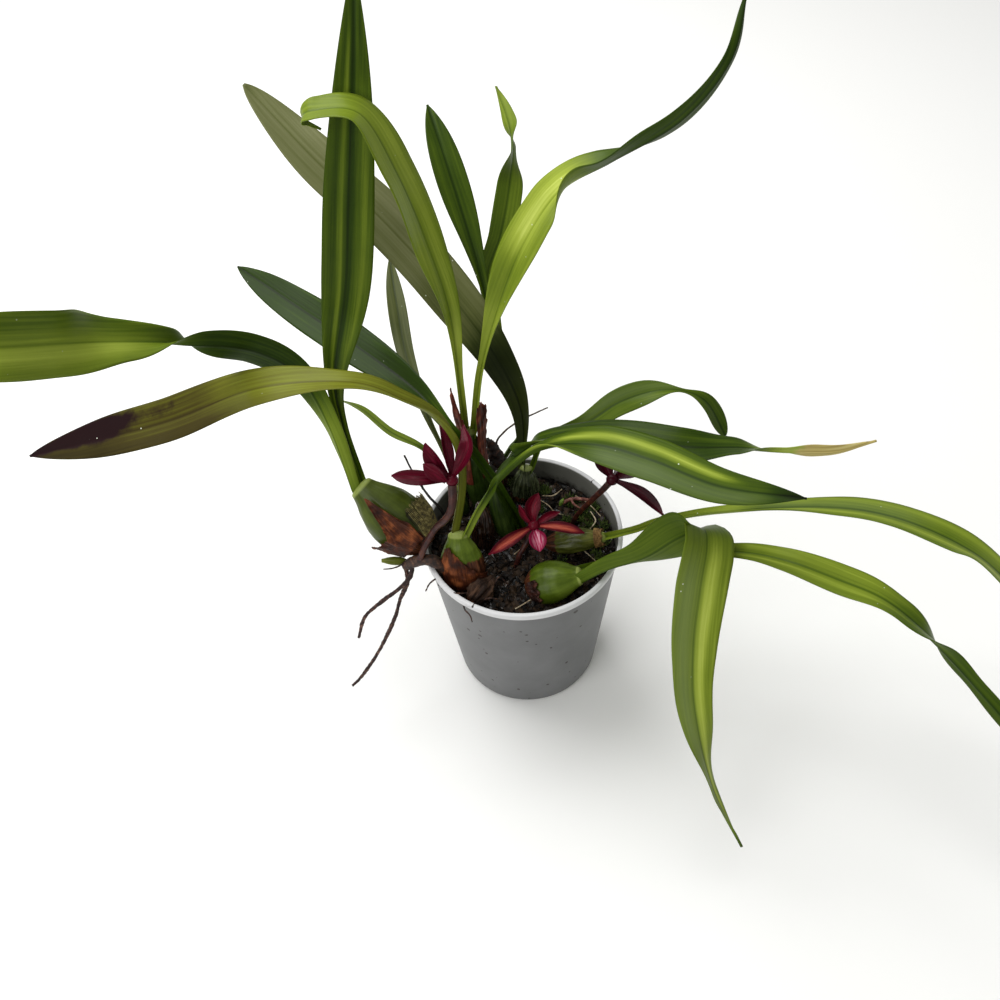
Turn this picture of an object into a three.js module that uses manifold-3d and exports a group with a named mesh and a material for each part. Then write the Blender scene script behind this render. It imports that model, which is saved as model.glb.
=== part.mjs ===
// Potted maxillaria orchid: a clump of flattened pseudobulbs in a plain grey pot, with long strap leaves,
// three dark red flowers and dry sheaths. Millimetres, +Z up, origin at the centre of the pot's base,
// -Y towards the front.
import * as THREE from 'three';
import { mergeVertices } from 'three/addons/utils/BufferGeometryUtils.js';
import Module from 'manifold-3d';

const wasm = await Module();
wasm.setup();

// Driving dimensions
const POT_HEIGHT = 129;
const RIM_RADIUS = 60.5;
const BASE_RADIUS = 47;
const POT_WALL = 1.5;
const POT_FLOOR = 2.5;
const LIP_HEIGHT = 4.5;
const LIP_PROUD = 1.5;
const BARK_LEVEL = 114;
const BARK_BUMP = 1.6;
const BARK_RINGS = 7;
const AROUND = 48;
const CLEARANCE = 0.3;
const BLADE = 0.8;
const LEAF_STATIONS = 26;
const STALK_FOLD = 45;
const BLADE_FOLD = 8;
const BLADE_FALL = [2.2, 0.9];
const BLADE_LEAST = 1.2;
const OPENING = 0.35;
const PETAL_DEPTH = 1.2;
const DEAD_BULB_GAP = 2.6;

const vec = (p) => new THREE.Vector3(p[0], p[1], p[2]);
const radians = (degrees) => degrees * Math.PI / 180;
const smooth = (x) => {
  const t = Math.min(1, Math.max(0, x));
  return t * t * (3 - 2 * t);
};

// A closed mesh from a flat list of corners and a list of triangles
function geometryOf(corners, triangles) {
  const geometry = new THREE.BufferGeometry();
  geometry.setAttribute('position', new THREE.Float32BufferAttribute(corners.flatMap((c) => c.toArray()), 3));
  geometry.setIndex(triangles.flat());
  return geometry;
}

// Rings of corners joined into a skin, turning right-handed about the direction of travel. A side listed in
// crossed is split along its other diagonal, and caps lists the triangles that close the first ring.
function loft(rings, crossed, caps) {
  const n = rings[0].length;
  const triangles = [];
  for (let i = 0; i + 1 < rings.length; i++) {
    for (let j = 0; j < n; j++) {
      const a = i * n + j;
      const b = i * n + (j + 1) % n;
      const c = b + n;
      const d = a + n;
      if (crossed.includes(j)) triangles.push([a, b, d], [b, c, d]);
      else triangles.push([a, b, c], [a, c, d]);
    }
  }
  const last = (rings.length - 1) * n;
  for (const [p, q, r] of caps) triangles.push([p, r, q], [last + p, last + q, last + r]);
  return geometryOf(rings.flat(), triangles);
}

// The cap of a round ring is a fan
const fan = (n) => Array.from({ length: n - 2 }, (_, i) => [0, i + 1, i + 2]);

function toSolid(geometry) {
  const bare = geometry.clone();
  bare.deleteAttribute('normal');
  bare.deleteAttribute('uv');
  const merged = mergeVertices(bare, 1e-4);
  return new wasm.Manifold(new wasm.Mesh({
    numProp: 3,
    vertProperties: new Float32Array(merged.attributes.position.array),
    triVerts: new Uint32Array(merged.index.array),
  }));
}

function fromSolid(solid) {
  const mesh = solid.getMesh();
  const geometry = new THREE.BufferGeometry();
  geometry.setAttribute('position', new THREE.BufferAttribute(mesh.vertProperties, 3));
  geometry.setIndex(new THREE.BufferAttribute(mesh.triVerts, 1));
  return geometry;
}

const cut = (geometry, ...tools) => fromSolid(
  tools.reduce((solid, tool) => solid.subtract(toSolid(tool)), toSolid(geometry)));

const join = (...geometries) => fromSolid(
  geometries.map(toSolid).reduce((whole, solid) => whole.add(solid)));

// Materials
const finish = (color, roughness) => new THREE.MeshStandardMaterial({ color, roughness, metalness: 0 });
const FINISHES = {
  pot: finish('#7b7f7e', 0.45),
  bark: finish('#1d1410', 0.9),
  rhizome: finish('#2e1d14', 0.8),
  bulb: finish('#4a6620', 0.35),
  oldBulb: finish('#4b3a26', 0.6),
  leaf: finish('#3f6a1e', 0.35),
  sheath: finish('#5b2c16', 0.7),
  tepal: finish('#5a0a1b', 0.5),
  lip: finish('#b03a62', 0.5),
  stalk: finish('#4a2a1c', 0.6),
  root: finish('#2a1517', 0.8),
};

const plant = new THREE.Group();
function add(name, geometry, material) {
  const mesh = new THREE.Mesh(geometry, material);
  mesh.name = name;
  plant.add(mesh);
}

// Pot: a turned shell with a flat base, a rounded foot and a narrow lip
const lipFoot = POT_HEIGHT - LIP_HEIGHT;
const bodyTop = RIM_RADIUS - LIP_PROUD;
const outerAt = (z) => BASE_RADIUS + (bodyTop - BASE_RADIUS) * z / lipFoot;
const innerAt = (z) => outerAt(z) - POT_WALL;

function turned(profile) {
  const geometry = new THREE.LatheGeometry(profile.map(([r, z]) => new THREE.Vector2(r, z)), AROUND);
  return geometry.rotateX(Math.PI / 2);
}

const potShape = turned([
  [0, 0], [BASE_RADIUS - 2.5, 0], [BASE_RADIUS - 0.6, 1], [outerAt(3.5), 3.5], [bodyTop, lipFoot],
  [RIM_RADIUS, lipFoot + 0.7], [RIM_RADIUS, POT_HEIGHT - 1], [RIM_RADIUS - 0.8, POT_HEIGHT],
  [innerAt(lipFoot) + 1, POT_HEIGHT], [innerAt(lipFoot) + 0.2, POT_HEIGHT - 0.8], [innerAt(lipFoot), lipFoot],
  [innerAt(5), 5], [innerAt(5) - 2.5, POT_FLOOR], [0, POT_FLOOR],
]);
add('pot', potShape, FINISHES.pot);

// Pseudobulbs: flattened bulbs from foot to crown. Each has a wide and a thick diameter, and faces is the
// direction that its flat side looks in. The crown is a small flat end that the leaf stalks stand on.
const BULB_PROFILE = [[0, 0.4], [0.1, 0.7], [0.26, 0.94], [0.45, 1], [0.64, 0.9], [0.8, 0.7], [0.92, 0.5], [1, 0.42]];
const BULB_SIDES = 14;
const BULBS = {
  pseudobulb_01: {
    foot: [-57.5, -11.5, 136.5], crown: [-92.5, 14, 165.5], wide: 36, thick: 21, faces: [-0.1, -0.75, 0.65],
  },
  pseudobulb_02: { foot: [-36, -28, 110], crown: [-38, -12, 147], wide: 28, thick: 17, faces: [-0.2, -0.8, 0.5] },
  pseudobulb_03: { foot: [-8, 9, 109], crown: [-15, 21, 149], wide: 15, thick: 12, faces: [0.3, -0.8, 0.3] },
  pseudobulb_04: { foot: [3, 38, 109], crown: [6, 43, 138], wide: 19, thick: 14, faces: [0, -0.9, 0.3] },
  pseudobulb_05: { foot: [-24, 1, 109], crown: [-24, 13, 142], wide: 15, thick: 11, faces: [0, -0.9, 0.3] },
  pseudobulb_06: { foot: [-24, 34, 109], crown: [-27, 42, 177], wide: 16, thick: 14, faces: [0.2, -0.9, 0.2] },
  pseudobulb_07: { foot: [-15, 44, 109], crown: [-8, 46, 140], wide: 10, thick: 10, faces: [0.2, -0.9, 0.2] },
  pseudobulb_08: { foot: [14, -3, 119], crown: [48, -9, 129], wide: 16, thick: 13, faces: [0, -0.5, 0.9] },
  pseudobulb_09: { foot: [0, -33, 118], crown: [31, -36, 130], wide: 26, thick: 20, faces: [-0.3, -0.3, 0.9] },
  pseudobulb_10: { foot: [-36, 30, 109], crown: [-39, 34, 134], wide: 12, thick: 10, faces: [0, -0.9, 0.3] },
  pseudobulb_dead: { foot: [-34, -41, 119], crown: [-21, -29, 124], wide: 15, thick: 12, faces: [0, -0.3, 0.9] },
};

function bulbFrame(bulb) {
  const foot = vec(bulb.foot);
  const axis = vec(bulb.crown).sub(foot);
  const along = axis.clone().normalize();
  const face = vec(bulb.faces).projectOnPlane(along).normalize();
  const side = new THREE.Vector3().crossVectors(along, face);
  return { foot, axis, along, face, side };
}

function bulbRadius(v) {
  const after = BULB_PROFILE.findIndex(([s]) => s >= v);
  if (after < 0) return BULB_PROFILE.at(-1)[1];
  if (after === 0) return BULB_PROFILE[0][1];
  const [s0, r0] = BULB_PROFILE[after - 1];
  const [s1, r1] = BULB_PROFILE[after];
  return r0 + (r1 - r0) * (v - s0) / (s1 - s0);
}

// A point on the bulb's skin, moved out by lift. Turn is 0 on the flat face and 90 on the side.
function onBulb(bulb, frame, v, turn, lift, least) {
  const reach = bulbRadius(v);
  const wide = Math.max(reach * bulb.wide / 2, least) + lift;
  const thick = Math.max(reach * bulb.thick / 2, least) + lift;
  return frame.foot.clone().addScaledVector(frame.axis, v)
    .addScaledVector(frame.face, thick * Math.cos(turn)).addScaledVector(frame.side, wide * Math.sin(turn));
}

function bulbShape(bulb, lift) {
  const frame = bulbFrame(bulb);
  const ring = (v, slide) => Array.from({ length: BULB_SIDES }, (_, j) => onBulb(
    bulb, frame, v, j / BULB_SIDES * 2 * Math.PI, lift, 0).addScaledVector(frame.along, slide));
  const rings = BULB_PROFILE.map(([v], i) => ring(
    v, i === 0 ? -lift : i === BULB_PROFILE.length - 1 ? lift : 0));
  return loft(rings, [], fan(BULB_SIDES));
}

// Round stems, roots and runners along a hand-laid path, tapering from the first radius to the second. Lift
// makes the stem larger all round, for the hole that it stands in.
function tube(points, [startRadius, endRadius], sides, steps, lift) {
  const path = new THREE.CatmullRomCurve3(points.map(vec), false, 'catmullrom', 0.5);
  const frames = path.computeFrenetFrames(steps, false);
  const rings = Array.from({ length: steps + 1 }, (_, i) => {
    const slide = i === 0 ? -lift : i === steps ? lift : 0;
    const centre = path.getPointAt(i / steps).addScaledVector(frames.tangents[i], slide);
    const radius = startRadius + (endRadius - startRadius) * i / steps + lift;
    return Array.from({ length: sides }, (_, j) => {
      const turn = j / sides * 2 * Math.PI;
      return centre.clone().addScaledVector(frames.normals[i], radius * Math.cos(turn))
        .addScaledVector(frames.binormals[i], radius * Math.sin(turn));
    });
  });
  return loft(rings, [], fan(sides));
}

// Rhizome: rises from the bark at the left, crosses the rim and ends outside it
const RUNNER = [[-46, -21.5, 121], [-47.5, -21.5, 126.5], [-51, -21, 132], [-57, -20, 135], [-64, -19, 133.5],
  [-71, -17.5, 127]];
const RUNNER_RADIUS = 3.6;
const runner = (lift) => tube(RUNNER, [RUNNER_RADIUS, RUNNER_RADIUS], 10, 14, lift);
const seat = (name) => bulbShape(BULBS[name], CLEARANCE);
add('rhizome', cut(runner(0), seat('pseudobulb_02')), FINISHES.rhizome);

for (const [name, bulb] of Object.entries(BULBS)) {
  const material = name === 'pseudobulb_dead' || name === 'pseudobulb_05' ? FINISHES.oldBulb : FINISHES.bulb;
  let shape = bulbShape(bulb, 0);
  if (name === 'pseudobulb_01') shape = cut(shape, runner(CLEARANCE));
  if (name === 'pseudobulb_dead') shape = cut(shape, bulbShape(BULBS.pseudobulb_02, DEAD_BULB_GAP));
  add(name, shape, material);
}

// Leaves: strap blades that rise from a folded stalk. The spine runs through hand-laid points. The facing
// directions say which way the upper face looks, at fractions of the length. Widest is where the blade is
// broadest, stem is where the stalk starts to open and fall is how it tapers to the tip. A waist, as a place, a
// narrowing and a span, is where a twisted blade draws in, and a crimp, as a place, degrees and a span, is
// where it folds deeper. Each leaf ends just clear of the bulb or bark that it is on.
const LEAVES = {
  leaf_01_far_left: {
    on: 'pseudobulb_01',
    spine: [[-96.5, 12.5, 164.5], [-105, 32.5, 200], [-118.5, 48, 226], [-137.5, 44.5, 249.5],
      [-161.5, 27.5, 272], [-188, -1, 301.5], [-214, -37, 333], [-240, -52, 347], [-274, -68, 352]],
    wide: 30, stalk: 8.5, stem: -0.1, widest: 0.72, waist: [0.47, 0.45, 0.1], crimp: [0.48, 40, 0.05],
    facing: [[0, 0.4, 0.7, 0.2], [0.1, 0.3, 0.7, 0], [0.22, 0.2, 0.8, -0.6], [0.38, 0.3, 0.8, -0.5],
      [0.58, 0.2, -0.4, 0.9], [0.7, 0.2, -0.9, 0.6], [1, 0.2, -0.5, 0.9]],
  },
  leaf_02_brown_tip: {
    on: 'pseudobulb_02',
    spine: [[-40.5, -11, 147], [-34, 3, 172], [-34, 10, 199], [-43, 14, 219], [-58, 15.5, 232],
      [-85, 19.5, 244.5], [-136, 24, 241], [-195, 26.5, 218], [-283, 38, 188]],
    wide: 27, stalk: 7, stem: 0.1, widest: 0.72,
    facing: [[0, 0.3, 0.5, 0.3], [0.3, 0.2, 0.2, 0.8], [0.6, 0, -0.3, 0.8], [1, 0, -0.5, 0.9]],
  },
  leaf_03_back_left: {
    on: 'substrate',
    spine: [[0, 14, 113], [-4, 11, 133], [-9, 11, 148], [-14, 13, 161], [-21, 18, 173], [-28, 23, 183],
      [-37, 28, 193], [-58, 64.5, 192.5], [-96, 108, 193], [-143, 157, 194], [-177, 193, 195]],
    wide: 26, stalk: 8.5, stem: 0.25, widest: 0.66, fall: [2.8, 0.8],
    facing: [[0, 0.3, -0.8, 0.3], [0.3, 0, -0.5, 0.8], [1, 0, -0.4, 0.9]],
  },
  leaf_04_front_arch: {
    on: 'pseudobulb_02',
    spine: [[-34.5, -14, 147], [-24, -9, 167], [-10, -5, 187], [11.5, -3, 206], [38.5, -16.5, 221],
      [65, -34, 226], [96.5, -55, 226], [135, -68, 228]],
    wide: 24, stalk: 6, stem: 0.24, widest: 0.6,
    facing: [[0, 0.5, -0.5, 0.5], [0.3, 0.4, 0.3, 0.8], [0.55, 0, -0.4, 0.9], [1, 0, -0.5, 0.9]],
  },
  leaf_05_upright: {
    on: 'pseudobulb_01',
    spine: [[-91.5, 16.5, 166.5], [-100.5, 44.5, 185.5], [-100, 52.5, 218], [-85, 62, 271], [-75, 74, 322],
      [-65, 84, 373], [-57, 95, 420]],
    wide: 27, stalk: 7, stem: 0.1, widest: 0.5,
    facing: [[0, 0.3, -0.9, 0.4], [1, 0.1, -0.9, 0.3]],
  },
  leaf_06_grey_olive: {
    on: 'pseudobulb_04',
    spine: [[4, 43, 138], [5, 58, 172], [-7, 65, 210], [-31, 80.5, 247.5], [-65, 99, 289],
      [-93, 115, 312.5], [-130, 148, 343]],
    wide: 32, stalk: 6, stem: -0.06, widest: 0.58, fall: [3, 0.7],
    facing: [[0, -0.6, -0.6, 0.4], [0.3, 0.2, -0.7, 0.6], [0.6, 0.5, -0.5, 0.7], [1, 0.5, -0.5, 0.7]],
  },
  leaf_07_left_arch: {
    on: 'pseudobulb_06',
    spine: [[-29.5, 43, 177], [-30, 46, 214], [-31, 50, 262], [-38.5, 53.5, 303.5], [-48.5, 56, 342],
      [-62, 66, 366.5], [-84, 69.5, 368], [-89.5, 72.5, 362], [-82.5, 72, 356]],
    wide: 27, stalk: 6, stem: 0.15, widest: 0.7,
    facing: [[0, 0.3, -0.9, 0.3], [0.5, 0.6, -0.5, 0.6], [0.8, 0.5, 0, 1], [0.93, -0.6, 0, 0.4],
      [1, -0.6, -0.2, -0.6]],
  },
  leaf_08_tall_right: {
    on: 'pseudobulb_06',
    spine: [[-24, 41.5, 177], [-17, 52, 215], [-4, 55, 260], [10, 57, 295.5], [28.5, 54, 327],
      [51, 48.5, 344], [80, 42.5, 365], [99, 45, 389], [105.5, 57, 411]],
    wide: 26, stalk: 6, stem: 0.15, widest: 0.46, crimp: [0.62, 25, 0.05], fall: [1.7, 0.9],
    facing: [[0, -0.3, -0.9, 0.3], [0.35, -0.6, -0.5, 0.5], [0.52, -0.6, -0.4, 0.8], [0.64, -0.3, 0.3, 0.8],
      [0.76, -0.2, 0.75, 0.5], [1, 0, 0.75, 0.5]],
  },
  leaf_09_back_dark: {
    on: 'pseudobulb_07',
    spine: [[-9.5, 47.5, 140], [-3, 57, 142], [3, 66, 146], [-3, 78, 173], [-9, 93, 204], [-12, 113, 225],
      [-18, 133.5, 247.5], [-26.5, 160.5, 271.5], [-37, 199, 296]],
    wide: 20, stalk: 4, stem: 0.4, widest: 0.8,
    facing: [[0, 0.3, -0.9, 0.3], [1, 0.3, -0.7, 0.5]],
  },
  leaf_10_back_twisted: {
    on: 'pseudobulb_07',
    spine: [[-6.5, 45.5, 140], [0, 58, 139], [7, 73, 140], [0.5, 88, 164], [-6.5, 112, 201], [-9, 127, 222],
      [1, 148, 236], [9, 175, 252], [13.5, 199, 267], [11, 215.5, 277], [6, 232, 286]],
    wide: 18, stalk: 4, stem: 0.25, widest: 0.7, waist: [0.84, 0.35, 0.04],
    facing: [[0, 0, -0.9, 0.3], [0.73, 0.3, -0.8, 0.5], [0.84, 0.9, -0.3, 0], [0.91, 0.4, 0.8, -0.3],
      [1, 0.4, 0.8, -0.3]],
  },
  leaf_11_small_back: {
    on: 'pseudobulb_10',
    spine: [[-37.5, 35, 134], [-45, 58, 143], [-56, 89, 150], [-67, 132, 161], [-72, 171, 177], [-75, 202, 187]],
    wide: 13, stalk: 4, stem: 0.15, widest: 0.72,
    facing: [[0, 0, -0.9, 0.4], [1, 0, -0.8, 0.6]],
  },
  leaf_12_thin_back: {
    on: 'pseudobulb_10',
    spine: [[-41, 34, 134], [-48, 46, 141], [-59.5, 67, 137], [-81.5, 92, 128.5], [-102, 122, 121],
      [-122, 147, 108.5]],
    wide: 6, stalk: 4, stem: 0.15, widest: 0.5,
    facing: [[0, 0, -0.2, 0.9], [1, 0, 0.1, 1]],
  },
  leaf_13_dry_tip: {
    on: 'pseudobulb_03',
    spine: [[-15, 21, 149], [-10, 20, 165], [0, 15, 183], [13.5, 11, 198], [44, 3, 208], [84, -17, 215],
      [115, -21, 215], [139, -24, 213], [165, -24, 210], [188, -18, 209]],
    wide: 23, stalk: 6, stem: 0, widest: 0.4, waist: [0.76, 0.4, 0.05], fall: [1.7, 0.9],
    facing: [[0, 0.5, -0.5, 0.5], [0.3, 0.4, 0.2, 0.8], [0.55, 0, -0.3, 0.8], [0.68, 0, 0.2, 0.9],
      [0.78, 0, 0.8, 0.4], [0.86, 0, 0.9, 0], [1, 0, 0.9, 0]],
  },
  leaf_14_small_arch: {
    on: 'pseudobulb_04',
    spine: [[9, 42.5, 137], [19, 53, 151], [43.5, 53.5, 162], [64.5, 57, 175], [86, 58, 181.5],
      [103, 56, 181.5], [117, 51, 174.5], [128, 40, 156]],
    wide: 17, stalk: 5, stem: 0.05, widest: 0.52, waist: [0.73, 0.8, 0.1], fall: [5, 0.6],
    facing: [[0, 0, -0.5, 0.8], [0.45, 0, -0.5, 0.8], [0.7, 0.2, -0.2, 0.9], [0.85, 0.7, -0.5, 0.5],
      [1, 0.6, -0.8, 0.2]],
  },
  leaf_15_long_right: {
    on: 'pseudobulb_08',
    spine: [[48, -9, 129], [66, -12, 138], [82, -11, 143], [116, -11.5, 148.5], [170, -19.5, 156.5],
      [204, -36, 164], [233.5, -60, 165.5], [247.5, -85, 166], [266, -119, 151]],
    wide: 26, stalk: 6, stem: 0.15, widest: 0.8,
    facing: [[0, 0, -0.5, 0.8], [0.3, 0.3, 0.3, 0.9], [0.6, 0.3, 0, 0.9], [1, 0.6, -0.1, 0.6]],
  },
  leaf_16_low_right: {
    on: 'pseudobulb_09',
    spine: [[31.5, -32, 131.5], [66.5, -29.5, 136], [111.5, -45.5, 156.5], [136, -62.5, 169],
      [160.5, -78.5, 170.5], [183, -94, 169], [206.5, -116, 156], [233, -143.5, 133.5], [250, -166, 116]],
    wide: 18.5, stalk: 5, stem: 0.15, widest: 0.58, waist: [0.8, 0.35, 0.08],
    facing: [[0, 0, -0.4, 0.9], [0.5, 0.1, -0.3, 0.9], [0.64, 0.6, -0.2, 0.7], [0.79, 0.8, 0.35, -0.3],
      [0.9, 0.4, 0.6, -0.6], [1, 0.5, 0.7, -0.6]],
  },
  leaf_17_folded: {
    on: 'pseudobulb_09',
    spine: [[31, -39.5, 129.5], [46, -38.5, 139], [66.5, -41, 152], [83, -41.5, 168], [95.5, -42, 175.5],
      [96, -54, 175], [90, -73, 163], [85, -94.5, 138], [85, -116, 109], [95.5, -141, 62.5],
      [113, -163, 26]],
    wide: 33, stalk: 7, stem: -0.1, widest: 0.3, fall: [1.3, 1],
    facing: [[0, -0.3, 0.9, 0.1], [0.1, -0.2, 0.9, 0], [0.22, 0, 0.8, -0.4], [0.3, 0.5, 0.2, 0.8],
      [0.4, 0.1, -0.9, 0.4], [0.62, 0.1, -0.9, 0.2], [0.85, 0.8, -0.3, 0.1], [1, 0.8, 0.2, 0.1]],
  },
};

function facingAt(keys, s) {
  let i = 0;
  while (i < keys.length - 2 && keys[i + 1][0] <= s) i++;
  const [s0, ...from] = keys[i];
  const [s1, ...to] = keys[i + 1];
  const share = smooth((s - s0) / (s1 - s0));
  return vec(from).normalize().lerp(vec(to).normalize(), share);
}

function bladeWidth(blade, s) {
  const [place, narrowing, span] = blade.waist ?? [0, 0, 1];
  const pinch = 1 - narrowing * Math.exp(-(((s - place) / span) ** 2));
  if (s < blade.widest) {
    const opened = smooth((s - blade.stem) / (blade.widest - blade.stem));
    return pinch * (blade.stalk + (blade.wide - blade.stalk) * opened);
  }
  const past = (s - blade.widest) / (1 - blade.widest);
  const [bend, taper] = blade.fall ?? BLADE_FALL;
  return Math.max(BLADE_LEAST, pinch * blade.wide * (1 - past ** bend) ** taper);
}

const LEAF_CROSSED = [1, 4];
const LEAF_CAPS = [[0, 1, 2], [0, 2, 5], [5, 2, 3], [5, 3, 4]];

function bladeShape(blade, stations, stalkDepth) {
  const curve = new THREE.CatmullRomCurve3(blade.spine.map(vec), false, 'catmullrom', 0.5);
  curve.arcLengthDivisions = 400;
  const rings = [];
  for (let i = 0; i <= stations; i++) {
    const s = i / stations;
    const rib = curve.getPointAt(s);
    const travel = curve.getTangentAt(s);
    const face = facingAt(blade.facing, s).projectOnPlane(travel).normalize();
    const side = new THREE.Vector3().crossVectors(travel, face);
    const half = bladeWidth(blade, s) / 2;
    const opened = smooth((s - blade.stem) / OPENING);
    const [spot, deeper, span] = blade.crimp ?? [0, 0, 1];
    const crimp = deeper * Math.exp(-(((s - spot) / span) ** 2));
    const fold = radians(STALK_FOLD + (BLADE_FOLD - STALK_FOLD) * opened + crimp);
    const depth = stalkDepth + (BLADE - stalkDepth) * opened;
    const rise = half * Math.sin(fold);
    const reach = half * Math.cos(fold);
    const at = (across, up) => rib.clone().addScaledVector(side, across).addScaledVector(face, up);
    rings.push([at(reach, rise), at(reach, rise - depth), at(0, -depth), at(-reach, rise - depth),
      at(-reach, rise), at(0, 0)]);
  }
  return loft(rings, LEAF_CROSSED, LEAF_CAPS);
}

const STALK_DEPTH = 1.6;
for (const [name, leaf] of Object.entries(LEAVES)) {
  const under = leaf.on === 'substrate' ? barkShape(CLEARANCE) : seat(leaf.on);
  add(name, cut(bladeShape(leaf, LEAF_STATIONS, STALK_DEPTH), under), FINISHES.leaf);
}

// Dry sheaths: thin curved patches that lie just off a bulb's skin. The top edge follows a formula, so that
// it runs up into a spike or ends in torn teeth. Least keeps the part above the crown clear of the stalks.
const SHEATH = 0.8;
function sheathShape({ bulb, turns, from, top, lift, flare, least }) {
  const frame = bulbFrame(bulb);
  const across = 8;
  const up = 5;
  const corner = (i, j, out) => {
    const u = i / across;
    const w = j / up;
    const v = from + (top(u) - from) * w;
    return onBulb(bulb, frame, v, radians(turns[0] + (turns[1] - turns[0]) * u), lift + flare * w * w + out, least);
  };
  const corners = [];
  for (const out of [SHEATH, 0]) {
    for (let i = 0; i <= across; i++) for (let j = 0; j <= up; j++) corners.push(corner(i, j, out));
  }
  const inner = (across + 1) * (up + 1);
  const at = (i, j) => i * (up + 1) + j;
  const triangles = [];
  const quad = (a, b, c, d) => triangles.push([a, b, c], [a, c, d]);
  for (let i = 0; i < across; i++) {
    for (let j = 0; j < up; j++) {
      const [a, b, c, d] = [at(i, j), at(i + 1, j), at(i + 1, j + 1), at(i, j + 1)];
      quad(a, b, c, d);
      triangles.push([inner + a, inner + c, inner + b], [inner + a, inner + d, inner + c]);
    }
    quad(inner + at(i, 0), inner + at(i + 1, 0), at(i + 1, 0), at(i, 0));
    quad(at(i, up), at(i + 1, up), inner + at(i + 1, up), inner + at(i, up));
  }
  for (let j = 0; j < up; j++) {
    quad(at(0, j), at(0, j + 1), inner + at(0, j + 1), inner + at(0, j));
    quad(inner + at(across, j), inner + at(across, j + 1), at(across, j + 1), at(across, j));
  }
  return geometryOf(corners, triangles);
}

const spike = (low, high, place, narrow, slope) => (u) => low + slope * u
  + (high - low) * Math.exp(-(((u - place) / narrow) ** 2));
const torn = (level, teeth, deep) => (u) => level + deep * Math.abs(Math.sin(u * Math.PI * teeth));
const SHEATHS = {
  sheath_papery: {
    bulb: BULBS.pseudobulb_01, turns: [-80, 20], from: 0.1, top: spike(0.42, 0.85, 0.65, 0.16, -0.12), lift: 0.5,
    flare: 2.5, least: 0,
  },
  sheath_net: {
    bulb: BULBS.pseudobulb_01, turns: [26, 105], from: 0.1, top: torn(0.42, 4, 0.06), lift: 0.5, flare: 0.4,
    least: 0,
  },
  bract_front: {
    bulb: BULBS.pseudobulb_02, turns: [-20, 75], from: 0.2, top: spike(0.35, 0.85, 0, 0.6, 0), lift: 0.5,
    flare: 0.8, least: 0,
  },
  sheath_tall_left: {
    bulb: BULBS.pseudobulb_06, turns: [-125, -30], from: 0.45, top: spike(1, 1.5, 0.5, 0.3, 0), lift: 0.5,
    flare: 0.5, least: 6,
  },
  sheath_tall_right: {
    bulb: BULBS.pseudobulb_06, turns: [35, 120], from: 0.5, top: spike(0.95, 1.3, 0.1, 0.35, 0), lift: 0.5,
    flare: 4, least: 6,
  },
  collar_right: {
    bulb: BULBS.pseudobulb_08, turns: [-150, 150], from: 0.86, top: torn(0.98, 5, 0.02), lift: 0.6, flare: 0.6,
    least: 0,
  },
  bract_right: {
    bulb: BULBS.pseudobulb_09, turns: [0, 70], from: 0.06, top: torn(0.3, 3, 0.06), lift: 0.6, flare: 0.3,
    least: 0,
  },
};
for (const [name, sheath] of Object.entries(SHEATHS)) add(name, sheathShape(sheath), FINISHES.sheath);

// Flowers: each has a small core that the pointed tepals grow from, a lip just clear of it, and a stalk
const CORE_RADIUS = 3.6;
const TEPAL_STATIONS = 6;
const LIP_STATIONS = 6;
const tepal = (centre, middle, tip, wide, faces) => bladeShape({
  spine: [centre, middle, tip], wide, stalk: 3.2, stem: 0, widest: 0.55, facing: [[0, ...faces], [1, ...faces]],
}, TEPAL_STATIONS, PETAL_DEPTH);

const FLOWERS = {
  flower_1: {
    centre: [-38, -1, 183],
    tepals: [
      [[-56, 0, 187], [-72, 5, 184], 10, [0, -0.8, 0.6]],
      [[-45, 4, 195], [-51, 10, 203], 14, [-0.5, -0.6, 0.4]],
      [[-40, 9, 199], [-42, 20, 206], 6, [0.6, -0.6, 0.4]],
      [[-27, 5, 203], [-29, 18, 207], 9, [-0.5, -0.7, 0.4]],
    ],
    lip: [[-41, -3.5, 185.5], [-47, -1, 191], [-53, 3, 194], 7, [-0.3, -0.6, 0.6]],
    stalk: [[-61.5, -20.5, 137.5], [-56, -17, 148], [-50, -13, 156], [-43, -13, 164], [-39, -10, 172], [-38, -3, 181]],
    radius: [1.9, 2.6],
  },
  flower_2: {
    centre: [7, -4, 139],
    tepals: [
      [[6, 4, 146], [11, 10, 152], 12, [0.2, -0.7, 0.6]],
      [[-6, -12, 139], [-21, -21, 137], 9, [0.1, -0.5, 0.8]],
      [[22, -9, 142], [36, -13, 140], 8, [0, -0.4, 0.9]],
      [[15, -1, 143], [23, 1, 144], 6, [0.1, -0.6, 0.7]],
      [[2, 1, 144], [-1, 5, 148], 6, [-0.3, -0.7, 0.6]],
    ],
    lip: [[7.2, -8.2, 139.5], [8, -14, 140], [9, -21, 136], 10, [0, -0.4, 0.9]],
    stalk: [[-6, -14, 110], [-3, -13, 122], [2, -9, 130], [6, -5, 137]],
    radius: [1.6, 1.8],
  },
  flower_3: {
    centre: [54, 7, 163],
    tepals: [
      [[50, 14, 169], [47, 22, 174], 13, [0, -0.6, 0.8]],
      [[64, 10, 167], [75, 13, 171], 13, [0.1, -0.6, 0.8]],
      [[68, -6, 163], [80, -18, 158], 10, [0.4, -0.3, 0.8]],
    ],
    lip: [[55.6, 10.8, 162], [58, 15, 159], [60, 20, 155], 8, [0.4, -0.2, 0.8]],
    stalk: [[30, 13, 110], [35, 12, 126], [43, 9, 143], [50, 7, 156], [53.5, 7, 162]],
    radius: [1.5, 2.1],
  },
};

function core(centre) {
  const ball = new THREE.SphereGeometry(CORE_RADIUS, 10, 6);
  return ball.translate(...centre);
}

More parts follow.
